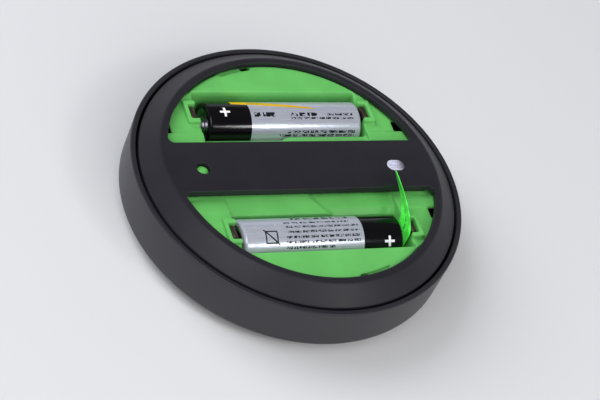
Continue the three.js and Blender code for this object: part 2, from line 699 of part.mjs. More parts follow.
// An L-shaped board beside the load cell, with a tongue under the unit button
function mainBoard() {
  const inner = -BEAM_WIDTH / 2 - 0.85;
  const tongueIn = BUTTON_X + 2.9;
  const tongueOut = BUTTON_X - 6.3;
  const corners = [
    [tongueIn, 5],
    [tongueOut, 5],
    [tongueOut, -16],
    [-30, -BOARD_DEPTH],
    [30, -BOARD_DEPTH],
    [31, -BOARD_DEPTH + 1],
    [31, inner],
    [tongueIn, inner],
  ];
  const holes = pegSpots.map(([x, y]) => rod(x, y, PEG_RADIUS + FIT, boardZ - 1, boardTopZ + 1, 16));
  return without(risen(outline(corners), boardZ, boardTopZ), holes);
}

function displayModule() {
  const x = DISPLAY_LENGTH / 2;
  const y = DISPLAY_WIDTH / 2;
  const top = boardZ - FIT;
  return block(-x, x, -DISPLAY_OFFSET - y, -DISPLAY_OFFSET + y, top - DISPLAY_HEIGHT, top);
}

function controlChip() {
  const [length, width, height] = CHIP_SIZE;
  const y = -BEAM_WIDTH / 2 - 0.85 - width / 2 - 0.4;
  return block(-12 - length / 2, -12 + length / 2, y - width / 2, y + width / 2,
    boardTopZ + FIT, boardTopZ + FIT + height);
}

function switchBody() {
  const half = SWITCH_SIZE / 2;
  const body = block(BUTTON_X - half, BUTTON_X + half, BUTTON_Y - half, BUTTON_Y + half,
    switchZ, switchZ + SWITCH_HEIGHT);
  return body.subtract(rod(BUTTON_X, BUTTON_Y, PLUNGER_RADIUS + FIT, switchZ + 1.2, switchZ + 9, 20));
}

function switchPlunger() {
  return rod(BUTTON_X, BUTTON_Y, PLUNGER_RADIUS, switchZ + 1.2 + BUTTON_STROKE + 0.1, plungerTopZ, 20);
}

function unitButton() {
  const top = footZ - BUTTON_RECESS;
  const stem = plungerTopZ + FIT;
  const flangeTop = flangeZ - 0.5;
  const button = turned([
    [0, stem],
    [BUTTON_RADIUS, stem],
    [BUTTON_RADIUS, flangeTop - BUTTON_FLANGE_HEIGHT],
    [BUTTON_RADIUS + BUTTON_FLANGE_WIDTH, flangeTop - BUTTON_FLANGE_HEIGHT],
    [BUTTON_RADIUS + BUTTON_FLANGE_WIDTH, flangeTop],
    [BUTTON_RADIUS, flangeTop],
    [BUTTON_RADIUS, top - 0.5],
    [BUTTON_RADIUS - 0.6, top - 0.1],
    [0, top],
  ], SMALL_SIDES);
  return button.translate([BUTTON_X, BUTTON_Y, 0]);
}

// Where the ribbon's two edges run: up between the cell's nub and the contact, then leaning
// towards the bar with a quarter twist.
function ribbonStations() {
  const x = CELL_LENGTH / 2 + 0.18;
  const half = FILM_WIDTH / 2;
  const reach = cellY - BAR_HALF_WIDTH;
  const at = (dx, dy, z) => new THREE.Vector3(x + dx, -cellY + dy, z);
  const edges = [
    [at(0, half, cellZ - 5.4), at(0, -half, cellZ - 5.4)],
    [at(0, half, cellZ), at(0, -half, cellZ)],
    [at(0, half, endFloorZ - 1), at(0, -half, endFloorZ - 1)],
    [at(-0.1, 0.3 * reach, footZ - 1.2), at(0.4, -0.25 * reach, footZ - 1.2)],
    [at(1.7, 0.61 * reach, footZ - 1.4), at(0.5, 0.16 * reach, footZ + 2.3)],
    [at(1.9, 0.84 * reach, footZ - 0.6), at(0.3, 0.48 * reach, footZ + 4.3)],
    [at(1.6, 1.03 * reach, footZ + 0.8), at(-0.6, 0.69 * reach, footZ + 5.8)],
    [at(0.8, 1.28 * reach, footZ + 3), at(-2.1, 0.95 * reach, footZ + 7.7)],
  ];
  return edges.map(([a, b]) => ({
    middle: a.clone().add(b).multiplyScalar(0.5),
    half: b.clone().sub(a).normalize().multiplyScalar(half),
  }));
}

function pullRibbon() {
  const stations = ribbonStations();
  const middle = new THREE.CatmullRomCurve3(stations.map((s) => s.middle));
  const half = new THREE.CatmullRomCurve3(stations.map((s) => s.half));
  const steps = 24;
  const strip = new THREE.BoxGeometry(1, 1, 1, 1, 1, steps);
  const position = strip.getAttribute("position");
  for (let i = 0; i < position.count; i++) {
    const t = position.getZ(i) + 0.5;
    const across = half.getPoint(t);
    const along = middle.getTangent(t);
    const out = new THREE.Vector3().crossVectors(along, across).normalize();
    const point = middle.getPoint(t);
    point.addScaledVector(across, position.getX(i) * 2);
    point.addScaledVector(out, position.getY(i) * FILM_THICKNESS);
    position.setXYZ(i, point.x, point.y, point.z);
  }
  return solid(strip);
}

function pill(x, y, length, width, z0, z1) {
  const reach = (length - width) / 2;
  const points = [
    ...arcPoints(x + reach, y, width / 2, -90, 90, 10),
    ...arcPoints(x - reach, y, width / 2, 90, 270, 10),
  ];
  return risen(outline(points), z0, z1);
}

// The small paper seal lying in its recess in the bar
function barSeal() {
  return pill(SEAL_X, SEAL_Y, SEAL_LENGTH, SEAL_WIDTH, footZ - SEAL_THICKNESS - 0.05, footZ - 0.05);
}

// Plastics, metals and films
function finish(color, roughness, metalness) {
  return new THREE.MeshStandardMaterial({ color, roughness, metalness });
}

const charcoal = finish(0x2a282e, 0.5, 0);
const graphite = finish(0x34343a, 0.45, 0);
const smoked = finish(0x141418, 0.1, 0);
const green = finish(0x5cb85c, 0.45, 0);
const steel = finish(0xb8bac0, 0.3, 1);
const nickel = finish(0x8a7468, 0.35, 1);
const aluminium = finish(0xc4c6ca, 0.4, 1);
const silverSleeve = finish(0xb0b4bf, 0.3, 0.4);
const boardGreen = finish(0x1e5a34, 0.5, 0);
const black = finish(0x101012, 0.5, 0);
const white = finish(0xe4e4ec, 0.4, 0);
const red = finish(0xb02020, 0.5, 0);
const film = finish(0x50d25a, 0.2, 0);

const group = new THREE.Group();

function add(name, shape, material) {
  const mesh = new THREE.Mesh(geometryOf(shape), material);
  mesh.name = name;
  group.add(mesh);
}

add("outer_shell", outerShell(), graphite);
add("platform_plate", platformPlate(), charcoal);
add("display_window", displayOpening(0, 0, PLATE_THICKNESS), smoked);
add("base_cover", baseCover(), charcoal);
add("battery_tray", batteryTray(), green);

const contacts = [
  ["contact_positive_1", 1, -1],
  ["contact_negative_1", 1, 1],
  ["contact_negative_2", -1, -1],
  ["contact_positive_2", -1, 1],
];
for (const [name, side, end] of contacts) {
  add(name, contactStrip(side, end), nickel);
}
add("series_link", seriesLink(), nickel);

const cells = [
  [1, 1, -1],
  [2, -1, 1],
];
for (const [number, side, toward] of cells) {
  add(`cell_${number}_can`, cellCan(side, toward), steel);
  add(`cell_${number}_sleeve`, cellSleeve(side, toward), silverSleeve);
}

add("pull_ribbon", pullRibbon(), film);
add("bar_seal", barSeal(), white);

add("load_cell_beam", loadCellBeam(), aluminium);
const sealSpots = [
  ["gauge_seal_upper", beamTopZ + FIT],
  ["gauge_seal_lower", beamZ - FIT - GAUGE_SEAL_HEIGHT * 0.75],
];
for (const [name, z] of sealSpots) {
  const thickness = name === "gauge_seal_upper" ? GAUGE_SEAL_HEIGHT : GAUGE_SEAL_HEIGHT * 0.75;
  const x = BEAM_CENTRE_X - GAUGE_SEAL_LENGTH / 2;
  const y = GAUGE_SEAL_WIDTH / 2;
  add(name, block(x, x + GAUGE_SEAL_LENGTH, -y, y, z, z + thickness), white);
}
baseScrewXs.forEach((x, i) => {
  const headZ = beamZ + FIT;
  const shape = screw(x, 0, BEAM_HEAD_RADIUS, headZ, BEAM_HEAD_HEIGHT, BEAM_SCREW_RADIUS, coverUnderZ - 1);
  add(`beam_screw_base_${i + 1}`, shape, steel);
});
platformScrewXs.forEach((x, i) => {
  const headZ = floorUnderZ + 0.1;
  const shape = screw(x, 0, BEAM_HEAD_RADIUS, headZ, FLAT_HEAD_HEIGHT, BEAM_SCREW_RADIUS, beamTopZ - 1.5);
  add(`beam_screw_platform_${i + 1}`, shape, steel);
});
traySpots.forEach(([x, y], i) => {
  const headZ = cupFloorZ - FIT - TRAY_HEAD_HEIGHT;
  const shape = screw(x, y, TRAY_HEAD_RADIUS, headZ, TRAY_HEAD_HEIGHT, TRAY_SCREW_RADIUS, coverUnderZ - 0.6);
  add(`tray_screw_${i + 1}`, shape, steel);
});

add("main_board", mainBoard(), boardGreen);
add("display_module", displayModule(), black);
add("control_chip", controlChip(), black);
add("switch_body", switchBody(), black);
add("switch_plunger", switchPlunger(), white);
add("unit_button", unitButton(), green);

const wireZ = legBottomZ - FIT - BATTERY_LEAD_RADIUS - 0.05;
const padZ = boardTopZ + BATTERY_LEAD_RADIUS + 0.15;
const leadPositive = [
  [legX, -cellY + 1, wireZ],
  [legX + 0.5, -cellY - 1, wireZ - 0.05],
  [legX + 0.9, -cellY - 3, padZ],
];
const leadNegative = [
  [legX, cellY - 1, wireZ],
  [legX + 1.6, cellY - 4.5, wireZ],
  [legX + 4, cellY - 12, wireZ],
  [legX + 4.6, 1.5, wireZ],
  [legX + 3.8, -5, wireZ],
  [legX + 1.4, -9.4, padZ],
];
const leadSensor = [
  [BEAM_CENTRE_X, -BEAM_WIDTH / 2 - 1, beamTopZ - 3],
  [BEAM_CENTRE_X - 1.5, -BEAM_WIDTH / 2 - 2.2, beamTopZ - 4],
  [BEAM_CENTRE_X - 4, -BEAM_WIDTH / 2 - 3, beamTopZ - 6],
  [BEAM_CENTRE_X - 6, -BEAM_WIDTH / 2 - 3.2, boardTopZ + 1.2],
];
add("battery_lead_positive", lead(leadPositive, BATTERY_LEAD_RADIUS), red);
add("battery_lead_negative", lead(leadNegative, BATTERY_LEAD_RADIUS), black);
add("load_cell_lead", lead(leadSensor, SENSOR_LEAD_RADIUS), white);

export default group;
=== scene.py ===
"""Dresses a compact round digital scale, battery side up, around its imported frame.

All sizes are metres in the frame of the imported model.
"""

import json
import logging
import math
from dataclasses import dataclass
from enum import Enum
from typing import Callable, Iterable, Sequence

import bmesh
import bpy
from mathutils import Matrix, Vector

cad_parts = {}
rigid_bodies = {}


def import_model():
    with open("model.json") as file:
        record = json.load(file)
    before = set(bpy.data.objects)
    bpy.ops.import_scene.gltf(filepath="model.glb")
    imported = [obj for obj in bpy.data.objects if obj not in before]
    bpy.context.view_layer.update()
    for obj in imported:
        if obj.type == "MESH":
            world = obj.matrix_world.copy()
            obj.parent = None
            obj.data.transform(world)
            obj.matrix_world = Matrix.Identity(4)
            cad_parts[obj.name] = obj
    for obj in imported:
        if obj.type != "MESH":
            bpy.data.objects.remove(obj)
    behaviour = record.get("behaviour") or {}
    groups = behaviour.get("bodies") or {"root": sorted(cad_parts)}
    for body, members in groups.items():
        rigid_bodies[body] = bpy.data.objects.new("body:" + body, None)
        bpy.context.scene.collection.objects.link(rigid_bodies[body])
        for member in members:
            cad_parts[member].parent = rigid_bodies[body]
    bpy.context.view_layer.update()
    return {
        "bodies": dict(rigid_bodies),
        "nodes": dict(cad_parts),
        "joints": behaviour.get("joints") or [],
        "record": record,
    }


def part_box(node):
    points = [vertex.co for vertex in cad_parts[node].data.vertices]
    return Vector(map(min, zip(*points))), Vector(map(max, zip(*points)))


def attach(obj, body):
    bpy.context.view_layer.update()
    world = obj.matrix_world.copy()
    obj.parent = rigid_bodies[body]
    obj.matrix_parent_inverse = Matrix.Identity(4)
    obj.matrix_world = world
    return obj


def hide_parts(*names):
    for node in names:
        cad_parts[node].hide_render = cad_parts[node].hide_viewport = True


LOG = logging.getLogger("scale")
MM = 0.001
Colour = tuple[float, float, float]
Point = tuple[float, float]


def srgb(red: int, green: int, blue: int) -> Colour:
    """Linear colour for three display values.

    Args:
        red: Red from 0 to 255.
        green: Green from 0 to 255.
        blue: Blue from 0 to 255.

    Returns:
        The three linear values from 0 to 1.
    """

    def linear(value: int) -> float:
        """One display value made linear."""
        share = value / 255
        return share / 12.92 if share <= 0.04045 else ((share + 0.055) / 1.055) ** 2.4

    return (linear(red), linear(green), linear(blue))


# Shader building


class Value:
    """A number that varies over a surface. Arithmetic on it adds Math nodes."""

    def __init__(self, shop: "Workshop", socket: bpy.types.NodeSocket) -> None:
        """Keeps the socket and the workshop it belongs to."""
        self.shop = shop
        self.socket = socket

    def __add__(self, other: "Value | float") -> "Value":
        """Sum."""
        return self.shop.math("ADD", self, other)

    __radd__ = __add__

    def __sub__(self, other: "Value | float") -> "Value":
        """Difference."""
        return self.shop.math("SUBTRACT", self, other)

    def __rsub__(self, other: float) -> "Value":
        """Difference, with the number first."""
        return self.shop.math("SUBTRACT", other, self)

    def __mul__(self, other: "Value | float") -> "Value":
        """Product."""
        return self.shop.math("MULTIPLY", self, other)

    __rmul__ = __mul__

    def __truediv__(self, other: "Value | float") -> "Value":
        """Quotient."""
        return self.shop.math("DIVIDE", self, other)

    def __rtruediv__(self, other: float) -> "Value":
        """Quotient, with the number first."""
        return self.shop.math("DIVIDE", other, self)

    def __gt__(self, other: "Value | float") -> "Value":
        """One where this is the larger, otherwise zero."""
        return self.shop.math("GREATER_THAN", self, other)

    def __lt__(self, other: "Value | float") -> "Value":
        """One where this is the smaller, otherwise zero."""
        return self.shop.math("LESS_THAN", self, other)

    def __abs__(self) -> "Value":
        """Absolute value."""
        return self.shop.math("ABSOLUTE", self)

    def floor(self) -> "Value":
        """The whole number below."""
        return self.shop.math("FLOOR", self)

    def within(self, centre: "Value | float", reach: float) -> "Value":
        """One where this lies within reach of centre."""
        return abs(self - centre) < reach

    def ramp(self, low: float, high: float) -> "Value":
        """Zero below low, one above high and smooth between."""
        return self.shop.smooth(self, low, high)


class Workshop:
    """Makes one node material around a Principled surface."""

    def __init__(self, name: str) -> None:
        """Starts an empty material.

        Args:
            name: The material's name.
        """
        self.material = bpy.data.materials.new(name)
        self.material.use_nodes = True
        self.tree = self.material.node_tree
        self.tree.nodes.clear()
        self.surface = self.tree.nodes.new("ShaderNodeBsdfPrincipled")
        output = self.tree.nodes.new("ShaderNodeOutputMaterial")
        self.tree.links.new(self.surface.outputs["BSDF"], output.inputs["Surface"])

    def node(self, kind: str, settings: dict | None = None, sockets: dict | None = None) -> bpy.types.Node:
        """Adds a node.

        Args:
            kind: The node's type.
            settings: Its properties, set before its sockets.
            sockets: Values or links of its inputs, by name or index.

        Returns:
            The new node.
        """
        made = self.tree.nodes.new(kind)
        for key, value in (settings or {}).items():
            setattr(made, key, value)
        for key, value in (sockets or {}).items():
            self.join(made.inputs[key], value)
        return made

    def join(self, target: bpy.types.NodeSocket, value: object) -> None:
        """Links a socket to the target, or sets the target's own value.

        Args:
            target: The input.
            value: A varying value, an output, a colour or a number.
        """
        if isinstance(value, Value):
            self.tree.links.new(value.socket, target)
        elif isinstance(value, bpy.types.NodeSocket):
            self.tree.links.new(value, target)
        elif isinstance(value, (tuple, list)) and target.type == "RGBA":
            target.default_value = (*value, 1.0)
        else:
            target.default_value = value

    def math(self, operation: str, *numbers: "Value | float") -> Value:
        """Adds one Math node."""
        made = self.node("ShaderNodeMath", {"operation": operation}, dict(enumerate(numbers)))
        return Value(self, made.outputs[0])

    def smooth(self, value: Value, low: float, high: float) -> Value:
        """Adds a smooth step.

        Args:
            value: What the step is made from.
            low: Where it starts.
            high: Where it ends.

        Returns:
            Zero below low, one above high and smooth between.
        """
        made = self.node(
            "ShaderNodeMapRange",
            {"interpolation_type": "SMOOTHSTEP"},
            {"Value": value, "From Min": low, "From Max": high},
        )
        return Value(self, made.outputs["Result"])

    def place(self, shift: Sequence[float] = (0, 0, 0),
              stretch: Sequence[float] = (1, 1, 1)) -> bpy.types.NodeSocket:
        """Object coordinates, moved and then scaled.

        Args:
            shift: The move in metres.
            stretch: The scale along each axis.

        Returns:
            The coordinates' output.
        """
        here = self.node("ShaderNodeTexCoord").outputs["Object"]
        moved = self.node("ShaderNodeMapping", {"vector_type": "POINT"}, {"Vector": here})
        moved.inputs["Scale"].default_value = stretch
        moved.inputs["Location"].default_value = [a * b for a, b in zip(shift, stretch)]
        return moved.outputs["Vector"]

    def axes(self, shift: Sequence[float] = (0, 0, 0)) -> tuple[Value, Value, Value]:
        """The three object coordinates in millimetres, counted from a shifted origin.

        Args:
            shift: The move in metres.

        Returns:
            The values along X, Y and Z.
        """
        scale = 1 / MM
        here = self.place(shift, (scale, scale, scale))
        split = self.node("ShaderNodeSeparateXYZ", None, {"Vector": here})
        return tuple(Value(self, split.outputs[i]) for i in range(3))

    def noise(self, size: float, detail: float = 2.0, rough: float = 0.5,
              stretch: Sequence[float] = (1, 1, 1)) -> Value:
        """Soft noise.

        Args:
            size: Size of its blotches in metres.
            detail: Number of finer layers.
            rough: Strength of the finer layers.
            stretch: Scale along each axis.

        Returns:
            A value from about 0.2 to 0.8.
        """
        here = self.place(stretch=stretch)
        sockets = {"Vector": here, "Scale": 1 / size, "Detail": detail, "Roughness": rough}
        made = self.node("ShaderNodeTexNoise", None, sockets)
        return Value(self, made.outputs["Fac"])

    def specks(self, size: float, share: float) -> Value:
        """Small round specks, one where a speck is.

        Args:
            size: Distance between specks in metres.
            share: Radius of a speck as a share of that distance.

        Returns:
            A mask.
        """
        sockets = {"Vector": self.place(), "Scale": 1 / size, "Randomness": 1.0}
        made = self.node("ShaderNodeTexVoronoi", None, sockets)
        return Value(self, made.outputs["Distance"]) < share

    def random(self, across: "Value | float", along: "Value | float") -> Value:
        """A different number for each pair of whole numbers.

        Args:
            across: The first whole number.
            along: The second.

        Returns:
            A value from 0 to 1.
        """
        joined = self.node("ShaderNodeCombineXYZ", None, {0: across, 1: along, 2: 0.5})
        settings = {"noise_dimensions": "3D"}
        made = self.node("ShaderNodeTexWhiteNoise", settings, {"Vector": joined.outputs[0]})
        return Value(self, made.outputs["Value"])

    def mix(self, share: "Value | float", first: object, second: object) -> bpy.types.NodeSocket:
        """Mixes two colours."""
        made = self.node("ShaderNodeMix", {"data_type": "RGBA"}, {0: share, 6: first, 7: second})
        return made.outputs[2]

    def bump(self, height: Value, depth: float, strength: float = 1.0) -> None:
        """Drives the surface normal by a height.

        Args:
            height: A value from 0 to 1.
            depth: What a height of one stands for, in metres.
            strength: Share of the effect.
        """
        sockets = {"Height": height, "Distance": depth, "Strength": strength}
        made = self.node("ShaderNodeBump", None, sockets)
        self.put({"Normal": made.outputs["Normal"]})

    def put(self, sockets: dict) -> None:
        """Sets or links inputs of the Principled surface."""
        for key, value in sockets.items():
            self.join(self.surface.inputs[key], value)


@dataclass(frozen=True)
class Moulded:
    """Moulded plastic with a fine grain, faint mottling and small specks.

    Attributes:
        name: The material's name.
        colour: Main colour.
        roughness: Mean roughness.
        grain: Size of the grain in metres.
        depth: Depth of the grain in metres.
        speck: How much lighter the specks are, as a share.
        gloss: Clear coat weight.
    """

    name: str
    colour: Colour
    roughness: float
    grain: float = 0.22 * MM
    depth: float = 0.02 * MM
    speck: float = 0.25
    gloss: float = 0.0

    def build(self) -> bpy.types.Material:
        """Returns the material."""
        shop = Workshop(self.name)
        mottle = shop.noise(9 * MM, 3)
        fine = shop.noise(self.grain, 2, 0.6)
        specks = shop.specks(0.55 * MM, 0.16)
        dark = tuple(c * 0.94 for c in self.colour)
        light = tuple(min(1.0, c * 1.05) for c in self.colour)
        bright = tuple(min(1.0, c * (1 + self.speck) + 0.012 * self.speck) for c in self.colour)
        base = shop.mix(mottle.ramp(0.3, 0.7), dark, light)
        colour = shop.mix(specks * 0.7, base, bright)
        rough = mottle * 0.08 + fine * 0.08 + (self.roughness - 0.08)
        shop.put({"Base Color": colour, "Roughness": rough, "Coat Weight": self.gloss, "Coat Roughness": 0.2})
        shop.bump(fine, self.depth, 0.6)
        return shop.material


@dataclass(frozen=True)
class Metal:
    """Drawn or milled metal with lines along one axis.

    Attributes:
        name: The material's name.
        colour: Main colour.
        roughness: Mean roughness.
        stretch: Scale of the lines along each axis.
    """

    name: str
    colour: Colour
    roughness: float
    stretch: tuple[float, float, float] = (0.08, 1, 1)

    def build(self) -> bpy.types.Material:
        """Returns the material."""
        shop = Workshop(self.name)
        lines = shop.noise(0.12 * MM, 3, 0.6, self.stretch)
        tarnish = shop.noise(3 * MM, 4, 0.6)
        dull = tuple(c * 0.72 for c in self.colour)
        colour = shop.mix(tarnish.ramp(0.42, 0.7), self.colour, dull)
        rough = lines * 0.14 + tarnish * 0.16 + (self.roughness - 0.14)
        shop.put({"Base Color": colour, "Metallic": 1.0, "Roughness": rough})
        shop.bump(lines, 0.006 * MM)
        return shop.material


class Face(Enum):
    """Which way a cell's printed label is laid out."""

    RATING = 1
    NOTES = -1


@dataclass(frozen=True)
class Label:
    """The shrunk sleeve of a cell: silver, with a black band and plain marks.

    Attributes:
        name: The material's name.
        face: Layout of the marks; its value is also the side the cell lies on.
        axis: Height and distance of the cell's axis, as (y, z) in metres.
        radius: Radius of the sleeve in metres.
    """

    name: str
    face: Face
    axis: Point
    radius: float

    def rows(self) -> list[tuple[float, float, float, float]]:
        """Lines of small marks.

        Returns:
            For each row its angle in degrees, start, stop and half height in mm.
        """
        if self.face is Face.RATING:
            return [(103, -9.2, -2.6, 0.75), (103, 2.5, 11, 0.6), (103, 13.8, 23, 0.4), (113, 2.5, 23, 0.32),
                    (146, 1.3, 23.2, 0.42), (155, -1.5, 23, 0.4)]
        return [(55, -9.7, 8, 0.8), (75, -12.8, 7.4, 0.34), (88, -12.8, 10, 0.34), (101, -12.8, 10, 0.34),
                (113.5, -12.8, 10, 0.36), (125, -13, 9.8, 0.38), (137.5, -13, 1.8, 0.38)]

    def build(self) -> bpy.types.Material:
        """Returns the material."""
        shop = Workshop(self.name)
        x, y, z = shop.axes((0, -self.axis[0], -self.axis[1]))
        turn = shop.math("ARCTAN2", z, y)
        around = turn * (self.radius / MM)
        silver = self.silver(shop)
        band = self.band(x)
        inked = shop.mix(self.print_mask(shop, x, around), silver, srgb(38, 38, 44))
        banded = shop.mix(band, inked, srgb(9, 8, 11))
        striped = shop.mix(self.stripe(x, around), banded, srgb(238, 186, 12))
        marked = shop.mix(self.plus(x, around), striped, srgb(235, 236, 240))
        wear = shop.noise(1.6 * MM, 4, 0.6)
        wrinkle = shop.noise(1.1 * MM, 2, 0.5, (0.35, 1, 1))
        rough = wear * 0.12 + (1 - band) * 0.12 + 0.07
        metallic = (1 - band) * 0.4
        shop.put({"Base Color": marked, "Roughness": rough, "Metallic": metallic, "Specular IOR Level": 0.35,
                  "Coat Weight": 0.1, "Coat Roughness": 0.12})
        shop.bump(wrinkle, 0.02 * MM)
        return shop.material

    def silver(self, shop: Workshop) -> bpy.types.NodeSocket:
        """The silver ground with fine streaks along the cell."""
        streaks = shop.noise(0.35 * MM, 3, 0.6, (0.05, 1, 1))
        return shop.mix(streaks.ramp(0.3, 0.7), srgb(178, 182, 194), srgb(196, 200, 211))

    def band(self, x: Value) -> Value:
        """The black band towards the nub.

        Args:
            x: Distance along the cell in mm.

        Returns:
            A mask.
        """
        if self.face is Face.RATING:
            return x < -10.3
        return x > 11.0

    def plus(self, x: Value, around: Value) -> Value:
        """The polarity mark on the band.

        Args:
            x: Distance along the cell in mm.
            around: Distance round the cell in mm.

        Returns:
            A mask.
        """
        centre, angle = (-18.2, 95) if self.face is Face.RATING else (19.0, 131)
        middle = math.radians(angle) * self.radius / MM
        bar = x.within(centre, 1.55) * around.within(middle, 0.36)
        post = x.within(centre, 0.36) * around.within(middle, 1.55)
        return self.either(bar, post)

    def either(self, first: Value, second: Value) -> Value:
        """One where either mask is one."""
        return first.shop.math("MAXIMUM", first, second)

    def stripe(self, x: Value, around: Value) -> Value:
        """A straight tapering amber line on the rating side.

        Args:
            x: Distance along the cell in mm.
            around: Distance round the cell in mm.

        Returns:
            A mask.
        """
        if self.face is Face.NOTES:
            return x > 99
        middle = (x + 15.4) * (31 / 25.9) + 54
        height = around - middle * (math.radians(1) * self.radius / MM)
        reach = 1.5 - (x + 15.4) * 0.047
        return (abs(height) < reach) * x.within(-2.4, 12.8)

    def print_mask(self, shop: Workshop, x: Value, around: Value) -> Value:
        """Rows of small generic strokes where a label carries its notes.

        Args:
            shop: The workshop of the material.
            x: Distance along the cell in mm.
            around: Distance round the cell in mm.

        Returns:
            A mask.
        """
        total: Value | None = None
        for angle, start, stop, reach in self.rows():
            middle = math.radians(angle) * self.radius / MM
            pitch = reach * 0.8
            column = (x / pitch).floor()
            across = ((around - middle) / (reach * 0.7)).floor()
            strokes = shop.random(column, across + angle * 3.0) > 0.36
            words = shop.random((x / (reach * 7.5)).floor(), angle) * reach * 7.5
            gap = shop.math("PINGPONG", x + words * 0.3, reach * 3.6) > reach * 0.55
            inside = around.within(middle, reach) * x.within((start + stop) / 2, (stop - start) / 2)
            row = inside * strokes * gap
            total = row if total is None else self.either(total, row)
        if self.face is Face.NOTES:
            total = self.either(total, self.emblem(x, around))
        return total

    def emblem(self, x: Value, around: Value) -> Value:
        """A plain framed square with a slanted line.

        Args:
            x: Distance along the cell in mm.
            around: Distance round the cell in mm.

        Returns:
            A mask.
        """
        middle = math.radians(112) * self.radius / MM
        across = x + 17.3
        height = around - middle
        far = across.shop.math("MAXIMUM", abs(across), abs(height))
        frame = far.within(1.7, 0.2)
        slash = (abs(across - height) < 0.3) * (far < 2.3)
        return self.either(frame, slash)


@dataclass(frozen=True)
class Film:
    """Thin bright film with a faint broken line down its middle and a faint painted glow.

    Attributes:
        name: The material's name.
        colour: Main colour.
    """

    name: str
    colour: Colour

    def build(self) -> bpy.types.Material:
        """Returns the material."""
        shop = Workshop(self.name)
        here = shop.node("ShaderNodeUVMap").outputs["UV"]
        split = shop.node("ShaderNodeSeparateXYZ", None, {0: here})
        across, along = Value(shop, split.outputs[0]), Value(shop, split.outputs[1])
        cloud = shop.noise(2.2 * MM, 3)
        pale = tuple(min(1.0, c * 1.5 + 0.03) for c in self.colour)
        film = shop.mix(cloud.ramp(0.35, 0.75), self.colour, pale)
        dashes = shop.random((along * 6).floor(), 3.0) > 0.35
        line = across.within(0.5, 0.05) * dashes
        colour = shop.mix(line * 0.6, film, srgb(16, 58, 22))
        # Painted glow: the film's colour is also given as emission, so it glows faintly though it is no lamp.
        shop.put({"Base Color": colour, "Roughness": cloud * 0.1 + 0.16, "Emission Color": colour,
                  "Emission Strength": 0.12})
        shop.bump(shop.noise(0.8 * MM, 2), 0.03 * MM)
        return shop.material


@dataclass(frozen=True)
class Paper:
    """White seal paper with faint lines, darkened towards +X by painted shade.

    Attributes:
        name: The material's name.
        centre: Middle of the seal, as (x, y) in metres.
    """

    name: str
    centre: Point

    def build(self) -> bpy.types.Material:
        """Returns the material."""
        shop = Workshop(self.name)
        x, y, _ = shop.axes((-self.centre[0], -self.centre[1], 0))
        fibre = shop.noise(0.5 * MM, 4, 0.65)
        line = y.within(-0.1, 0.14) * (x > -2.2)
        dots = (shop.random((x / 0.5).floor(), (y / 0.5).floor()) > 0.62) * y.within(-1.0, 0.28)
        # Painted shade: the seal turns dark towards +X, where it lies in shade.
        painted_shade = x.ramp(-0.4, 2.8)
        ink = shop.math("MAXIMUM", line * 0.45, dots * 0.35)
        white = shop.mix(fibre.ramp(0.3, 0.7), srgb(172, 172, 192), srgb(212, 213, 230))
        marked = shop.mix(ink, white, srgb(92, 90, 110))
        painted_shade_colour = shop.mix(painted_shade * 0.92, marked, srgb(50, 47, 56))
        shop.put({"Base Color": painted_shade_colour, "Roughness": fibre * 0.2 + 0.35})
        shop.bump(fibre, 0.02 * MM)
        return shop.material


@dataclass(frozen=True)
class Laminate:
    """A circuit board: solder mask over copper tracks.

    Attributes:
        name: The material's name.
    """

    name: str

    def build(self) -> bpy.types.Material:
        """Returns the material."""
        shop = Workshop(self.name)
        x, y, _ = shop.axes()
        lane = (y / 0.9).floor()
        run = shop.random((x / 7).floor(), lane) > 0.45
        track = shop.math("PINGPONG", y, 0.45) < 0.16
        pads = shop.specks(2.6 * MM, 0.17)
        mask = shop.mix(run * track, srgb(16, 74, 40), srgb(38, 116, 62))
        colour = shop.mix(pads, mask, srgb(190, 192, 196))
        rough = 0.3 + shop.noise(1 * MM) * 0.1
        shop.put({"Base Color": colour, "Roughness": rough, "Metallic": pads * 0.9})
        shop.bump(run * track, 0.03 * MM)
        return shop.material


@dataclass(frozen=True)
class Floor:
    """Pale matt table.

    Attributes:
        name: The material's name.
        colour: Main colour.
    """

    name: str
    colour: Colour

    def build(self) -> bpy.types.Material:
        """Returns the material."""
        shop = Workshop(self.name)
        cloud = shop.noise(0.3, 2)
        dim = tuple(c * 0.97 for c in self.colour)
        shop.put({"Base Color": shop.mix(cloud, dim, self.colour), "Roughness": 0.62})
        return shop.material


# Mesh building


def new_piece(name: str, mesh: bmesh.types.BMesh, material: bpy.types.Material,
              crease: float = 32) -> bpy.types.Object:
    """Turns a bmesh into an object in the scene.

    Args:
        name: The object's name.
        mesh: The finished bmesh, which is freed.
        material: Its material.
        crease: Angle in degrees past which an edge stays sharp.

    Returns:
        The object.
    """
    bmesh.ops.remove_doubles(mesh, verts=mesh.verts, dist=1e-6)
    bmesh.ops.recalc_face_normals(mesh, faces=mesh.faces)
    for face in mesh.faces:
        face.smooth = True
    for edge in mesh.edges:
        if len(edge.link_faces) == 2 and edge.calc_face_angle() > math.radians(crease):
            edge.smooth = False
    data = bpy.data.meshes.new(name)
    mesh.to_mesh(data)
    mesh.free()
    made = bpy.data.objects.new(name, data)
    made.data.materials.append(material)
    bpy.context.scene.collection.objects.link(made)
    return made


def arc(centre: Point, radius: float, start: float, stop: float, steps: int) -> list[Point]:
    """Points along a circle from one angle to another, in degrees."""
    angles = [math.radians(start + (stop - start) * i / steps) for i in range(steps + 1)]
    return [(centre[0] + radius * math.cos(a), centre[1] + radius * math.sin(a)) for a in angles]


def add_loop(mesh: bmesh.types.BMesh, points: Iterable[Point], z: float) -> list[bmesh.types.BMEdge]:
    """Adds a closed flat loop of edges at one height."""
    verts = [mesh.verts.new((x, y, z)) for x, y in points]
    return [mesh.edges.new((verts[i - 1], verts[i])) for i in range(len(verts))]


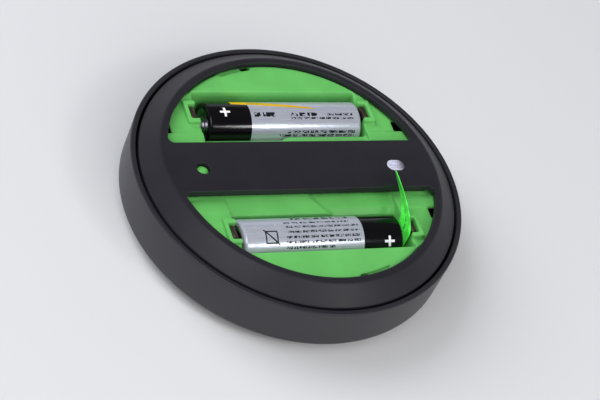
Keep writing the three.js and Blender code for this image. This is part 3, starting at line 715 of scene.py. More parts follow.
def spin_profile(points: Sequence[Point], steps: int, axis: str = "z") -> bmesh.types.BMesh:
    """Turns a profile of (radius, distance along the axis) into a solid of revolution.

    Args:
        points: The profile. It closes on itself, or starts and ends on the axis.
        steps: Number of steps round.
        axis: "z" for an upright axis, "x" for one lying along X.

    Returns:
        The bmesh.
    """
    mesh = bmesh.new()
    verts = [mesh.verts.new((r, 0, d)) for r, d in points]
    for first, second in zip(verts, verts[1:]):
        mesh.edges.new((first, second))
    if points[0][0] > 0:
        mesh.edges.new((verts[-1], verts[0]))
    geometry = mesh.verts[:] + mesh.edges[:]
    bmesh.ops.spin(mesh, geom=geometry, cent=(0, 0, 0), axis=(0, 0, 1), angle=2 * math.pi, steps=steps,
                   use_merge=True)
    bmesh.ops.remove_doubles(mesh, verts=mesh.verts, dist=1e-7)
    if axis == "x":
        lying = Matrix.Rotation(math.pi / 2, 3, "Y")
        bmesh.ops.rotate(mesh, verts=mesh.verts, cent=(0, 0, 0), matrix=lying)
    return mesh


def grow_loop(mesh: bmesh.types.BMesh, edges: list[bmesh.types.BMEdge], shape: Callable[[int], Point],
              z: float) -> list[bmesh.types.BMEdge]:
    """Extrudes a loop of edges and moves each new point to its place.

    Args:
        mesh: The bmesh.
        edges: The loop, in order.
        shape: Gives the place of point number i.
        z: Height of the new loop.

    Returns:
        The new loop, in the same order.
    """
    count = len(edges)
    order = [shared_vert(edges[i], edges[(i + 1) % count]) for i in range(count)]
    made = bmesh.ops.extrude_edge_only(mesh, edges=edges)
    fresh = {v for v in made["geom"] if isinstance(v, bmesh.types.BMVert)}
    follow = []
    for i, vert in enumerate(order):
        other = next(e.other_vert(vert) for e in vert.link_edges if e.other_vert(vert) in fresh)
        follow.append(other)
        other.co = Vector((*shape(i), z))
    return [mesh.edges.get((follow[i - 1], follow[i])) for i in range(count)]


def shared_vert(first: bmesh.types.BMEdge, second: bmesh.types.BMEdge) -> bmesh.types.BMVert:
    """The vertex that two edges share."""
    return next(v for v in first.verts if v in second.verts)


@dataclass
class Outline:
    """A closed outline that can be offset outwards.

    Attributes:
        make: Gives the outline's points at an offset in metres.
    """

    make: Callable[[float], list[Point]]

    def sweep(self, mesh: bmesh.types.BMesh, stations: Sequence[Point]) -> tuple[list, list]:
        """Sweeps the outline through stations of (offset, height).

        Args:
            mesh: The bmesh.
            stations: Offsets and heights, in order.

        Returns:
            The first and the last loop of edges.
        """
        first = add_loop(mesh, self.make(stations[0][0]), stations[0][1])
        last = first
        for offset, height in stations[1:]:
            points = self.make(offset)
            last = grow_loop(mesh, last, lambda i: points[i], height)
        return first, last


def circle_outline(centre: Point, radius: float, steps: int) -> Outline:
    """A round outline."""
    return Outline(lambda offset: arc(centre, radius + offset, 0, 360 - 360 / steps, steps - 1))


def pill_outline(centre: Point, length: float, width: float) -> Outline:
    """A slot with round ends.

    Args:
        centre: Its middle.
        length: Its length along X.
        width: Its width along Y.

    Returns:
        The outline.
    """
    reach = (length - width) / 2

    def make(offset: float) -> list[Point]:
        """The slot's points at an offset."""
        right = arc((centre[0] + reach, centre[1]), width / 2 + offset, -90, 90, 14)
        left = arc((centre[0] - reach, centre[1]), width / 2 + offset, 90, 270, 14)
        return right + left

    return Outline(make)


def block_outline(centre: Point, length: float, width: float, corner: float) -> Outline:
    """A rectangle with rounded corners.

    Args:
        centre: Its middle.
        length: Its length along X.
        width: Its width along Y.
        corner: Radius of its corners.

    Returns:
        The outline.
    """

    def make(offset: float) -> list[Point]:
        """The rectangle's points at an offset, corner by corner."""
        x, y = length / 2 - corner, width / 2 - corner
        points: list[Point] = []
        for index, (sx, sy) in enumerate(((1, 1), (-1, 1), (-1, -1), (1, -1))):
            middle = (centre[0] + sx * x, centre[1] + sy * y)
            points += arc(middle, corner + offset, index * 90, index * 90 + 90, 6)
        return points

    return Outline(make)


def window_outline(side: int, radius: float, bar: float, corner: float) -> Outline:
    """The D-shaped window beyond the bar.

    Args:
        side: +1 or -1, the side of the bar it lies on.
        radius: Radius of its round edge.
        bar: Half width of the bar.
        corner: Radius of its two corners.

    Returns:
        The outline.
    """

    def make(offset: float) -> list[Point]:
        """The window's points at an offset: corner, round edge, corner."""
        turn = corner + offset
        middle_y = bar + corner
        middle_x = math.sqrt((radius - corner) ** 2 - middle_y**2)
        tilt = math.degrees(math.atan2(middle_y, middle_x))
        points = arc((middle_x, middle_y), turn, -90, tilt, 10)
        points += arc((0, 0), radius + offset, tilt, 180 - tilt, 90)[1:-1]
        points += arc((-middle_x, middle_y), turn, 180 - tilt, 270, 10)
        return [(x * side, y * side) for x, y in points]

    return Outline(make)


def fillet(radius: float, z: float, steps: int = 5, lift: int = -1) -> list[Point]:
    """Stations of (offset, height) that round a hole's edge, starting on the flat face at z.

    Args:
        radius: Radius of the rounding.
        z: Height of the flat face.
        steps: Number of steps.
        lift: -1 where the wall goes down from the face, +1 where it goes up.

    Returns:
        The stations, from the flat to the wall.
    """
    turns = [math.pi / 2 * i / steps for i in range(steps + 1)]
    return [(radius * (1 - math.sin(t)), z + lift * radius * (1 - math.cos(t))) for t in turns]


# The scale's own pieces


@dataclass
class PlatformSide:
    """The outer shell, the platform plate and the smoked window."""

    radius: float = 50 * MM
    rim: float = 18 * MM
    wall: float = 1.6 * MM
    plate_radius: float = 43.7 * MM
    plate_thickness: float = 1.8 * MM
    window_size: Point = (36 * MM, 10 * MM)
    window_y: float = -22 * MM
    shell_finish: Moulded = Moulded("shell_plastic", srgb(38, 37, 42), 0.40, speck=0.15)
    plate_finish: Moulded = Moulded("plate_plastic", srgb(36, 35, 40), 0.5, depth=0.03 * MM)
    window_finish: Moulded = Moulded("smoked_acrylic", srgb(14, 14, 17), 0.12, depth=0.002 * MM,
                                     speck=0.05, gloss=0.6)

    def build(self) -> None:
        """Makes the three pieces and lets them ride on the platform."""
        self.finish(self.shell(), "outer_shell", "shell")
        self.finish(self.plate(), "platform_plate", "plate")
        self.finish(self.window(), "display_window", "smoked")

    def finish(self, piece: bpy.types.Object, node: str, slot: str) -> None:
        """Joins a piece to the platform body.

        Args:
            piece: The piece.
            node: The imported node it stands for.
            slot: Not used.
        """
        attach(piece, "platform")
        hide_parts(node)
        LOG.info("%s made", piece.name)

    def shell(self) -> bpy.types.Object:
        """The cup round the base: rounded rim, straight wall, bevelled foot and inner lip.

        Returns:
            The piece.
        """
        inner = self.radius - self.wall
        lip = self.plate_radius + 0.3 * MM
        profile = [
            (35 * MM, 2.1 * MM),
            (lip, 2.1 * MM),
            *arc((lip + 0.25 * MM, 0.25 * MM), 0.25 * MM, 180, 270, 4),
            *arc((44.5 * MM, 0.3 * MM), 0.3 * MM, 270, 322, 4),
            *arc((self.radius - 1.5 * MM, 4.9 * MM), 1.5 * MM, -38, 0, 8),
            *arc((self.radius - 0.5 * MM, self.rim - 0.5 * MM), 0.5 * MM, 0, 90, 6),
            *arc((inner + 0.35 * MM, self.rim - 0.35 * MM), 0.35 * MM, 90, 180, 5),
            (inner, 5.2 * MM),
            (inner - 1.7 * MM, 3.5 * MM),
            (35 * MM, 3.5 * MM),
        ]
        return new_piece("shell_cup", spin_profile(profile, 200), self.shell_finish.build())

    def plate(self) -> bpy.types.Object:
        """The round plate with a rounded edge and a cut-out for the window.

        Returns:
            The piece.
        """
        mesh = bmesh.new()
        steps = 180
        outer = circle_outline((0, 0), self.plate_radius, steps)
        length, width = (size + 0.5 * MM for size in self.window_size)
        hole = block_outline((0, self.window_y), length, width, 0.6 * MM)
        turns = [(-o, z) for o, z in fillet(0.45 * MM, 0.0, 5, 1)]
        bottom_a, top_a = outer.sweep(mesh, [*turns, (0, self.plate_thickness)])
        bottom_b, top_b = hole.sweep(mesh, [*fillet(0.2 * MM, 0.0, 3, 1), (0, self.plate_thickness)])
        bmesh.ops.triangle_fill(mesh, edges=bottom_a + bottom_b, use_beauty=True)
        bmesh.ops.triangle_fill(mesh, edges=top_a + top_b, use_beauty=True)
        return new_piece("plate_disc", mesh, self.plate_finish.build(), 12)

    def window(self) -> bpy.types.Object:
        """The smoked insert, flush with the plate.

        Returns:
            The piece.
        """
        mesh = bmesh.new()
        shape = block_outline((0, self.window_y), *self.window_size, 0.5 * MM)
        turns = [(-o, z) for o, z in fillet(0.2 * MM, 0.02 * MM, 3, 1)]
        bottom, top = shape.sweep(mesh, [*turns, (0, self.plate_thickness)])
        bmesh.ops.triangle_fill(mesh, edges=bottom, use_beauty=True)
        bmesh.ops.triangle_fill(mesh, edges=top, use_beauty=True)
        return new_piece("window_insert", mesh, self.window_finish.build(), 12)


@dataclass
class BaseCover:
    """The fixed dark cover: skirt, cone, foot ring and the bar between two windows."""

    top: float = 22 * MM
    under: float = 20.2 * MM
    rim: float = 18 * MM
    outer: float = 47.7 * MM
    foot: float = 43.05 * MM
    window: float = 40.2 * MM
    bar: float = 9 * MM
    corner: float = 1.8 * MM
    edge: float = 0.3 * MM
    lip_reach: float = 37.0 * MM
    lip_bottom: float = 19.7 * MM
    button: Point = (-31.2 * MM, -0.6 * MM)
    button_radius: float = 2.0 * MM
    seal: Point = (29.4 * MM, -0.7 * MM)
    seal_size: Point = (5.9 * MM, 4.2 * MM)
    finish: Moulded = Moulded("cover_plastic", srgb(30, 28, 34), 0.46, grain=0.25 * MM,
                              depth=0.03 * MM, speck=0.9)

    def build(self) -> None:
        """Makes the cover and lets it ride on the base."""
        mesh = bmesh.new()
        steps = 200
        ring = circle_outline((0, 0), 0.0, steps)
        blend = 1.5 * MM
        rounded = [(self.foot - blend + blend * math.sin(t), self.top - blend * (1 - math.cos(t)) * 0.8)
                   for t in [math.radians(50) * i / 7 for i in range(8)]]
        profile = [
            *rounded,
            (self.outer - 0.45 * MM, self.rim + 0.28 * MM),
            (self.outer - 0.12 * MM, self.rim - 0.05 * MM),
            (self.outer, self.rim - 0.4 * MM),
            (self.outer, 6.7 * MM),
            (self.outer - 0.2 * MM, 6.5 * MM),
            (self.outer - 1.2 * MM, 6.5 * MM),
            (self.outer - 1.4 * MM, 6.7 * MM),
            (self.outer - 1.4 * MM, self.rim - 0.8 * MM),
            (self.foot - 0.7 * MM, self.under),
        ]
        top_ring, under_ring = ring.sweep(mesh, profile)
        tops, unders = [top_ring], [under_ring]
        for side in (1, -1):
            shape = window_outline(side, self.window, self.bar, self.corner)
            first, last = shape.sweep(mesh, [*fillet(self.edge, self.top), (0, self.under)])
            tops.append(first)
            unders.append(last)
        hole = circle_outline(self.button, self.button_radius, 40)
        first, last = hole.sweep(mesh, [*fillet(0.25 * MM, self.top, 3), (0, self.under)])
        tops.append(first)
        unders.append(last)
        recess = pill_outline(self.seal, *self.seal_size)
        first, last = recess.sweep(mesh, [*fillet(0.1 * MM, self.top, 2), (0, self.top - 0.4 * MM)])
        tops.append(first)
        bmesh.ops.triangle_fill(mesh, edges=last, use_beauty=True)
        bmesh.ops.triangle_fill(mesh, edges=sum(tops, []), use_beauty=True)
        bmesh.ops.triangle_fill(mesh, edges=sum(unders, []), use_beauty=True)
        self.lips(mesh)
        piece = new_piece("cover_ring", mesh, self.finish.build(), 14)
        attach(piece, "base")
        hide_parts("base_cover")
        LOG.info("%s made", piece.name)

    def lips(self, mesh: bmesh.types.BMesh) -> None:
        """Adds the downturned edges of the bar.

        Args:
            mesh: The cover.
        """
        for side in (1, -1):
            height = self.under + 0.3 * MM - self.lip_bottom
            middle = Vector((0, side * (self.bar - 0.59 * MM), self.lip_bottom + height / 2))
            size = Matrix.Diagonal((self.lip_reach * 2, 1.18 * MM, height, 1))
            made = bmesh.ops.create_cube(mesh, size=1, matrix=Matrix.Translation(middle) @ size)
            edges = {e for v in made["verts"] for e in v.link_edges}
            bmesh.ops.bevel(mesh, geom=list(edges), offset=0.15 * MM, affect="EDGES", segments=2, profile=0.5,
                            material=-1)


@dataclass
class BatteryTray:
    """The green tray, softened all over as a moulding is."""

    voxel: float = 0.27 * MM
    keep: float = 0.355
    finish: Moulded = Moulded("tray_plastic", srgb(98, 181, 92), 0.36, grain=0.3 * MM,
                              depth=0.012 * MM, speck=0.06)

    def build(self, node: bpy.types.Object) -> None:
        """Makes a softened copy of the tray and lets it ride on the base.

        Args:
            node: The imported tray, which is only copied.
        """
        mesh = bmesh.new()
        mesh.from_mesh(node.data)
        bmesh.ops.remove_doubles(mesh, verts=mesh.verts, dist=1e-6)
        piece = new_piece("tray_moulding", mesh, self.finish.build())
        remesh = piece.modifiers.new("even", "REMESH")
        remesh.mode = "VOXEL"
        remesh.voxel_size = self.voxel
        remesh.use_smooth_shade = True
        soften = piece.modifiers.new("soften", "SMOOTH")
        soften.factor = 0.5
        soften.iterations = 4
        thin = piece.modifiers.new("thin", "DECIMATE")
        thin.ratio = self.keep
        bake_modifiers(piece)
        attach(piece, "base")
        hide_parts("battery_tray")
        LOG.info("%s made with %d faces", piece.name, len(piece.data.polygons))


def bake_modifiers(piece: bpy.types.Object) -> None:
    """Applies an object's modifiers to its mesh.

    Args:
        piece: The object.
    """
    bpy.context.view_layer.update()
    graph = bpy.context.evaluated_depsgraph_get()
    data = bpy.data.meshes.new_from_object(piece.evaluated_get(graph))
    piece.modifiers.clear()
    piece.data = data


@dataclass
class Cell:
    """One AA cell: a drawn steel can and its printed sleeve."""

    number: int
    side: int
    toward: int
    length: float = 50.5 * MM
    radius: float = 7.1 * MM
    axis_y: float = 21.9 * MM
    axis_z: float = 14 * MM
    shift: float = 0.25 * MM
    film: float = 0.2 * MM
    turn: float = 0.9 * MM
    mouth: float = 5.4 * MM
    nub: float = 2.72 * MM
    nub_height: float = 1.4 * MM
    pleat: float = 0.16 * MM

    def build(self) -> None:
        """Makes the can and the sleeve."""
        self.place(self.can(), "can", f"cell_{self.number}_can")
        self.place(self.sleeve(), "sleeve", f"cell_{self.number}_sleeve")

    def place(self, piece: bpy.types.Object, slot: str, node: str) -> None:
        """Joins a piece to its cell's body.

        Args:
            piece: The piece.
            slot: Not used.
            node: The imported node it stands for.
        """
        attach(piece, f"cell_{self.number}")
        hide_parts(node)
        LOG.info("%s made", piece.name)

    def lay(self, mesh: bmesh.types.BMesh) -> bmesh.types.BMesh:
        """Lays a turned piece along its bay, nub the right way.

        Args:
            mesh: The piece along X from zero.

        Returns:
            The same bmesh.
        """
        bmesh.ops.translate(mesh, verts=mesh.verts, vec=(-self.length / 2, 0, 0))
        if self.toward < 0:
            turned = Matrix.Rotation(math.pi, 3, "Z")
            bmesh.ops.rotate(mesh, verts=mesh.verts, cent=(0, 0, 0), matrix=turned)
        middle = (-self.toward * self.shift, self.side * self.axis_y, self.axis_z)
        bmesh.ops.translate(mesh, verts=mesh.verts, vec=middle)
        return mesh

    def can(self) -> bpy.types.Object:
        """The steel can with its pressed end plate and nub.

        Returns:
            The piece.
        """
        inner = self.radius - self.film - 0.03 * MM
        end = self.length - self.nub_height
        deep = self.film + 0.1 * MM
        profile = [
            (0, 0.1 * MM),
            (self.mouth - 1.1 * MM, 0.1 * MM),
            (self.mouth - 0.8 * MM, 0),
            (self.mouth - 0.45 * MM, 0),
            (self.mouth - 0.3 * MM, 0.12 * MM),
            (self.mouth - 0.2 * MM, deep),
            *arc((inner - self.turn, deep + self.turn), self.turn, -90, 0, 8),
            *arc((inner - self.turn, end - deep - self.turn), self.turn, 0, 90, 8),
            (self.nub + 0.25 * MM, end - deep),
            (self.nub, end - deep + 0.2 * MM),
            *arc((self.nub - 0.4 * MM, self.length - 0.4 * MM), 0.4 * MM, 0, 90, 5),
            (0, self.length),
        ]
        mesh = self.lay(spin_profile(profile, 96, "x"))
        finish = Metal(f"can_steel_{self.number}", srgb(205, 206, 210), 0.24, (1, 0.15, 0.15))
        return new_piece(f"cell_{self.number}_steel", mesh, finish.build())

    def sleeve(self) -> bpy.types.Object:
        """The shrunk sleeve, crimped in small pleats over both ends of the can.

        Returns:
            The piece.
        """
        inner = self.radius - self.film
        end = self.length - self.nub_height
        face = 0.05 * MM
        deep = face + self.film
        turn = self.turn
        profile = [
            (self.mouth, deep),
            (self.mouth - 0.05 * MM, face + 0.08 * MM),
            (self.mouth + 0.05 * MM, face),
            *arc((self.radius - turn, face + turn), turn, -90, 0, 8),
            *arc((self.radius - turn, end - face - turn), turn, 0, 90, 8),
            (self.mouth + 0.05 * MM, end - face),
            (self.mouth - 0.05 * MM, end - face - 0.08 * MM),
            (self.mouth, end - deep),
            *arc((inner - turn, end - deep - turn), turn, 90, 0, 8),
            *arc((inner - turn, deep + turn), turn, 0, -90, 8),
        ]
        mesh = spin_profile(profile, 192, "x")
        self.crimp(mesh, end)
        face_kind = Face.RATING if self.side > 0 else Face.NOTES
        spot = (self.side * self.axis_y, self.axis_z)
        label = Label(f"sleeve_print_{self.number}", face_kind, spot, self.radius)
        return new_piece(f"cell_{self.number}_label", self.lay(mesh), label.build())

    def crimp(self, mesh: bmesh.types.BMesh, end: float) -> None:
        """Waves the lapped film at both ends, as heat leaves it.

        Args:
            mesh: The sleeve along X from 0 to end.
            end: Where its far end lies.
        """
        for vert in mesh.verts:
            across = math.hypot(vert.co.y, vert.co.z)
            around = math.atan2(vert.co.z, vert.co.y)
            share = max(0.0, min(1.0, (self.radius - 0.25 * MM - across) / (self.radius - self.mouth)))
            wave = 0.5 + 0.3 * math.sin(17 * around + 1.3) + 0.2 * math.sin(29 * around)
            sink = share * wave * self.pleat
            vert.co.x += sink if vert.co.x < end / 2 else -sink


@dataclass
class ContactStrip:
    """One folded spring strip in its pocket."""

    node: str
    side: int
    end: int
    leg_x: float = 28.5 * MM
    fold: float = 0.85 * MM
    fold_z: float = 19.25 * MM
    width: float = 4 * MM
    thickness: float = 0.4 * MM
    bow_x: float = 25.95 * MM
    cell_y: float = 21.9 * MM
    cell_z: float = 14 * MM

    def build(self, finish: bpy.types.Material) -> None:
        """Makes the strip with rounded edges.

        Args:
            finish: The plated metal all four strips share.
        """
        fold_x = self.leg_x - self.fold
        leaf_x = fold_x - self.fold
        path = [
            (self.leg_x, 6.9 * MM),
            (self.leg_x, self.fold_z),
            *arc((fold_x, self.fold_z), self.fold, 0, 180, 10)[1:],
            (leaf_x, self.cell_z + 3 * MM),
            *[(leaf_x + (self.bow_x - leaf_x) * math.cos(t) ** 2, self.cell_z + 3 * MM * -math.sin(t))
              for t in [math.radians(-75 + 15 * i) for i in range(11)]],
            (leaf_x, self.cell_z - 3 * MM),
        ]
        mesh = bmesh.new()
        start = self.side * self.cell_y - self.width / 2
        verts = [mesh.verts.new((x * self.end, start, z)) for x, z in path]
        edges = [mesh.edges.new(pair) for pair in zip(verts, verts[1:])]
        made = bmesh.ops.extrude_edge_only(mesh, edges=edges)
        moved = [v for v in made["geom"] if isinstance(v, bmesh.types.BMVert)]
        bmesh.ops.translate(mesh, verts=moved, vec=(0, self.width, 0))
        piece = new_piece(f"{self.node}_strip", mesh, finish, 60)
        thick = piece.modifiers.new("thickness", "SOLIDIFY")
        thick.thickness = self.thickness * 0.96
        thick.offset = 0
        edge = piece.modifiers.new("edges", "BEVEL")
        edge.width = 0.06 * MM
        edge.segments = 2
        edge.limit_method = "ANGLE"
        edge.angle_limit = math.radians(60)
        bake_modifiers(piece)
        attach(piece, "base")
        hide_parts(self.node)
        LOG.info("%s made", piece.name)


@dataclass
class PullRibbon:
    """The green film that tips the second cell out."""

    width: float = 7 * MM
    thickness: float = 0.22 * MM
    root: tuple[float, float, float] = (25.43 * MM, -21.9 * MM, 14 * MM)
    reach: float = 12.9 * MM
    rim: float = 22 * MM
    finish: Film = Film("ribbon_film", srgb(70, 214, 66))

    def edges(self) -> list[tuple[Vector, Vector]]:
        """The film's two edges from its foot to its tip.

        Returns:
            For each station the points of the first and the second edge.
        """
        x, y, z = self.root
        half = self.width / 2
        rim = self.rim

        def at(dx: float, dy: float, height: float) -> Vector:
            """A point by its distance from the root in mm and its height."""
            return Vector((x + dx * MM, y + dy * MM, height))

        reach = self.reach / MM
        return [
            (at(0, half / MM, z - 5.4 * MM), at(0, -half / MM, z - 5.4 * MM)),
            (at(0, half / MM, z), at(0, -half / MM, z)),
            (at(0, half / MM, rim - 3.7 * MM), at(0, -half / MM, rim - 3.7 * MM)),
            (at(-0.1, 0.3 * reach, rim - 1.2 * MM), at(0.4, -0.25 * reach, rim - 1.2 * MM)),
            (at(1.5, 0.61 * reach, rim - 1.4 * MM), at(0.5, 0.12 * reach, rim + 1.5 * MM)),
            (at(1.9, 0.84 * reach, rim - 0.6 * MM), at(-0.2, 0.46 * reach, rim + 4.0 * MM)),
            (at(1.6, 1.03 * reach, rim + 0.8 * MM), at(-1.0, 0.68 * reach, rim + 5.5 * MM)),
            (at(0.8, 1.28 * reach, rim + 3 * MM), at(-2.2, 0.95 * reach, rim + 7.6 * MM)),
        ]

    def build(self) -> None:
        """Makes the film and lets it ride on its own body."""
        mesh = bmesh.new()
        across = 4
        rows = []
        for first, second in self.edges():
            half = (second - first).normalized() * (self.width / 2)
            middle = (first + second) / 2
            rows.append([middle + half * (2 * i / across - 1) for i in range(across + 1)])
        verts = [mesh.verts.new(point) for point in rows[0]]
        order = list(verts)
        edges = [mesh.edges.new(pair) for pair in zip(verts, verts[1:])]
        for row in rows[1:]:
            made = bmesh.ops.extrude_edge_only(mesh, edges=edges)
            fresh = [v for v in made["geom"] if isinstance(v, bmesh.types.BMVert)]
            grown = [next(e.other_vert(v) for e in v.link_edges if e.other_vert(v) in fresh)
                     for v in verts]
            for vert, point in zip(grown, row):
                vert.co = point
            verts = grown
            edges = [mesh.edges.get(pair) for pair in zip(verts, verts[1:])]
            order += grown
        places = mesh.loops.layers.uv.new("strip")
        for face in mesh.faces:
            for loop in face.loops:
                spot = order.index(loop.vert)
                loop[places].uv = (spot % (across + 1) / across, spot // (across + 1))
        piece = new_piece("ribbon_film_strip", mesh, self.finish.build(), 80)
        smooth = piece.modifiers.new("smooth", "SUBSURF")
        smooth.levels = 3
        smooth.render_levels = 3
        thick = piece.modifiers.new("thickness", "SOLIDIFY")
        thick.thickness = self.thickness
        thick.offset = 0
        bake_modifiers(piece)
        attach(piece, "ribbon")
        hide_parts("pull_ribbon")
        LOG.info("%s made", piece.name)


@dataclass
class BarFittings:
    """The unit button in its hole and the paper seal in its recess."""

    button: Point = (-31.2 * MM, -0.6 * MM)
    seal: Point = (29.4 * MM, -0.7 * MM)
    seal_size: Point = (5.6 * MM, 3.9 * MM)
    stem: float = 1.8 * MM
    flange: float = 2.6 * MM
    green: Moulded = Moulded("button_plastic", srgb(94, 178, 88), 0.4, grain=0.3 * MM,
                             depth=0.012 * MM, speck=0.06)

    def build(self) -> None:
        """Makes both fittings."""
        piece = self.make_button()
        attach(piece, "button")
        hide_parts("unit_button")
        LOG.info("%s made", piece.name)
        piece = self.make_seal()
        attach(piece, "base")
        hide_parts("bar_seal")
        LOG.info("%s made", piece.name)

    def make_button(self) -> bpy.types.Object:
        """A stem with a domed top and a flange under the tray.

        Returns:
            The piece.
        """
        low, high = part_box("unit_button")
        step = low.z + 7.0 * MM
        dome = [(self.stem * math.cos(t), high.z - 0.55 * MM + 0.55 * MM * math.sin(t))
                for t in [math.radians(90) * i / 7 for i in range(8)]]
        profile = [
            (0, low.z),
            (self.stem, low.z),
            (self.stem, step - 0.5 * MM),
            (self.flange, step - 0.4 * MM),
            (self.flange, step + 0.6 * MM),
            (self.stem, step + 0.6 * MM),
            *dome[:-1],
            (0, high.z),
        ]
        mesh = spin_profile(profile, 48)
        bmesh.ops.translate(mesh, verts=mesh.verts, vec=(*self.button, 0))
        return new_piece("button_stem", mesh, self.green.build())

    def make_seal(self) -> bpy.types.Object:
        """A thin pill of paper, its top edge rounded.

        Returns:
            The piece.
        """
        low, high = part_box("bar_seal")
        mesh = bmesh.new()
        turns = [(-o, z) for o, z in fillet(0.08 * MM, high.z, 3)]
        shape = pill_outline(self.seal, *self.seal_size)
        first, last = shape.sweep(mesh, [*turns, (0, low.z)])
        bmesh.ops.triangle_fill(mesh, edges=first, use_beauty=True)
        bmesh.ops.triangle_fill(mesh, edges=last, use_beauty=True)
        return new_piece("seal_paper", mesh, Paper("seal_paper_white", self.seal).build(), 20)


def wear(node: bpy.types.Object, material: bpy.types.Material) -> None:
    """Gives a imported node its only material."""
    node.data.materials.clear()
    node.data.materials.append(material)


@dataclass
class InnerWorks:
    """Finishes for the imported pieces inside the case, which keep their shapes."""

    steel: Metal = Metal("screw_steel", srgb(196, 197, 200), 0.3, (1, 1, 0.1))
    aluminium: Metal = Metal("beam_aluminium", srgb(214, 216, 219), 0.38, (0.06, 1, 1))
    silicone: Moulded = Moulded("silicone", srgb(226, 226, 220), 0.6, depth=0.05 * MM)
    dark: Moulded = Moulded("dark_package", srgb(22, 22, 24), 0.5)
    glass: Moulded = Moulded("display_glass", srgb(18, 20, 20), 0.15, depth=0.002 * MM, gloss=0.5)
    pale: Moulded = Moulded("pale_plastic", srgb(222, 222, 224), 0.45)
    red: Moulded = Moulded("red_insulation", srgb(176, 34, 28), 0.4)
    black: Moulded = Moulded("black_insulation", srgb(20, 20, 22), 0.4)

    def groups(self) -> list[tuple[object, list[str]]]:
        """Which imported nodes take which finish.

        Returns:
            Each finish with the names of its nodes.
        """
        screws = [f"beam_screw_{end}_{i}" for end in ("base", "platform") for i in (1, 2)]
        return [
            (self.steel, screws + [f"tray_screw_{i}" for i in range(1, 5)]),
            (self.aluminium, ["load_cell_beam"]),
            (self.silicone, ["gauge_seal_upper", "gauge_seal_lower"]),
            (self.dark, ["control_chip", "switch_body"]),
            (self.glass, ["display_module"]),
            (self.pale, ["switch_plunger", "load_cell_lead"]),
            (self.red, ["battery_lead_positive"]),
            (self.black, ["battery_lead_negative"]),
            (Laminate("board_laminate"), ["main_board"]),
        ]

    def dress(self, nodes: dict) -> None:
        """Gives each node its finish.

        Args:
            nodes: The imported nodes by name.
        """
        for finish, names in self.groups():
            material = finish.build()
            for name in names:
                wear(nodes[name], material)
            LOG.info("%s on %s", finish.name, ", ".join(names))


@dataclass
class Contacts:
    """The four folded strips and the link between the far pair."""

    finish: Metal = Metal("contact_nickel", srgb(142, 122, 112), 0.42, (1, 0.2, 1))

    def build(self, nodes: dict) -> None:
        """Makes the strips and dresses the link.

        Args:
            nodes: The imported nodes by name.
        """
        material = self.finish.build()
        layout = [("contact_positive_1", 1, -1), ("contact_negative_1", 1, 1),
                  ("contact_negative_2", -1, -1), ("contact_positive_2", -1, 1)]
        for node, side, end in layout:
            ContactStrip(node, side, end).build(material)
        wear(nodes["series_link"], material)


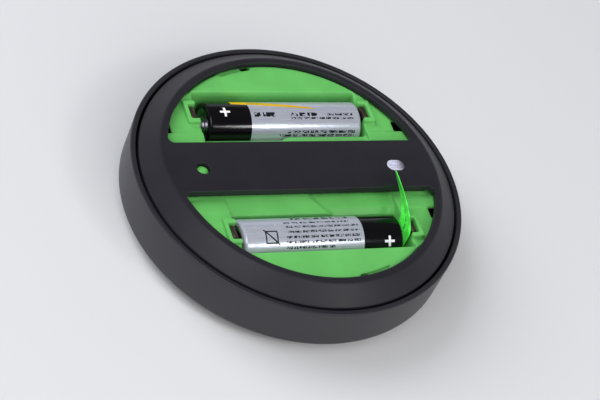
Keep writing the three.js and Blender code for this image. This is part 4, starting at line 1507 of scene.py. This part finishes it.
@dataclass
class Studio:
    """The pale table, the soft lights and the camera."""

    lens: float = 99.7
    eye: tuple[float, float, float] = (-0.20485, -0.27635, 0.3478)
    right: tuple[float, float, float] = (0.90277, -0.29115, 0.31661)
    up: tuple[float, float, float] = (0.02470, 0.76997, 0.63761)
    sky_strength: float = 0.9
    table: Floor = Floor("table_white", (0.65, 0.65, 0.66))

    def build(self) -> None:
        """Sets the camera, the table, the sky and the lamps."""
        bpy.context.scene.view_settings.view_transform = "Standard"
        self.camera()
        self.floor()
        self.sky()
        self.lamp("key_lamp", (0.0, -1.05, 0.85), 1.3, 12, (1.0, 0.98, 0.97), False)
        self.lamp("strip_lamp", (0.5, -0.8, 0.9), 0.22, 2.0, (1.0, 1.0, 1.0))
        self.lamp("soft_lamp", (-0.5, -0.3, 1.15), 0.8, 4.5, (0.95, 0.97, 1.0))
        self.lamp("cool_lamp", (-0.85, 0.75, 1.0), 1.2, 20, (0.94, 0.965, 1.0), False)

    def camera(self) -> None:
        """A camera on the measured line of sight."""
        data = bpy.data.cameras.new("camera")
        data.lens = self.lens
        data.sensor_width = 36
        data.clip_start = 0.01
        data.clip_end = 20
        made = bpy.data.objects.new("camera", data)
        side, top = Vector(self.right).normalized(), Vector(self.up).normalized()
        back = side.cross(top)
        turn = Matrix((side, top, back)).transposed().to_4x4()
        made.matrix_world = Matrix.Translation(self.eye) @ turn
        bpy.context.scene.collection.objects.link(made)
        bpy.context.scene.camera = made

    def floor(self) -> None:
        """A broad flat table top."""
        mesh = bmesh.new()
        bmesh.ops.create_grid(mesh, x_segments=2, y_segments=2, size=3)
        bmesh.ops.translate(mesh, verts=mesh.verts, vec=(0, 0, -0.0002))
        new_piece("table_top", mesh, self.table.build())

    def sky(self) -> None:
        """A soft surround: bright low down like pale walls, dim overhead."""
        world = bpy.data.worlds.new("sky")
        world.use_nodes = True
        tree = world.node_tree
        back = tree.nodes["Background"]
        here = tree.nodes.new("ShaderNodeTexCoord")
        split = tree.nodes.new("ShaderNodeSeparateXYZ")
        ramp = tree.nodes.new("ShaderNodeValToRGB")
        tree.links.new(here.outputs["Generated"], split.inputs[0])
        tree.links.new(split.outputs["Z"], ramp.inputs["Fac"])
        tree.links.new(ramp.outputs["Color"], back.inputs["Color"])
        low, high = ramp.color_ramp.elements
        low.position, low.color = 0.12, (0.80, 0.83, 0.87, 1)
        high.position, high.color = 0.5, (0.10, 0.105, 0.115, 1)
        back.inputs["Strength"].default_value = self.sky_strength
        bpy.context.scene.world = world

    def lamp(self, name: str, place: Sequence[float], size: float, power: float, colour: Colour,
             mirrored: bool = True) -> None:
        """A square area lamp that looks at the scale.

        Args:
            name: The lamp's name.
            place: Where it stands.
            size: Length of its side.
            power: Its power in watts.
            colour: Its colour.
            mirrored: Whether glossy surfaces show it.
        """
        data = bpy.data.lights.new(name, "AREA")
        data.shape = "SQUARE"
        data.size = size
        data.energy = power
        data.color = colour
        made = bpy.data.objects.new(name, data)
        made.location = place
        made.visible_glossy = mirrored
        aim = (Vector((0, 0, 0.01)) - Vector(place)).to_track_quat("-Z", "Y")
        made.rotation_euler = aim.to_euler()
        bpy.context.scene.collection.objects.link(made)


def main() -> None:
    """Builds the whole scene in order."""
    logging.basicConfig(level=logging.INFO, format="%(message)s")
    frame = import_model()
    Studio().build()
    PlatformSide().build()
    BaseCover().build()
    BatteryTray().build(frame["nodes"]["battery_tray"])
    Contacts().build(frame["nodes"])
    for cell in (Cell(1, 1, -1), Cell(2, -1, 1)):
        cell.build()
    PullRibbon().build()
    BarFittings().build()
    InnerWorks().dress(frame["nodes"])


if __name__ == "__main__":
    main()
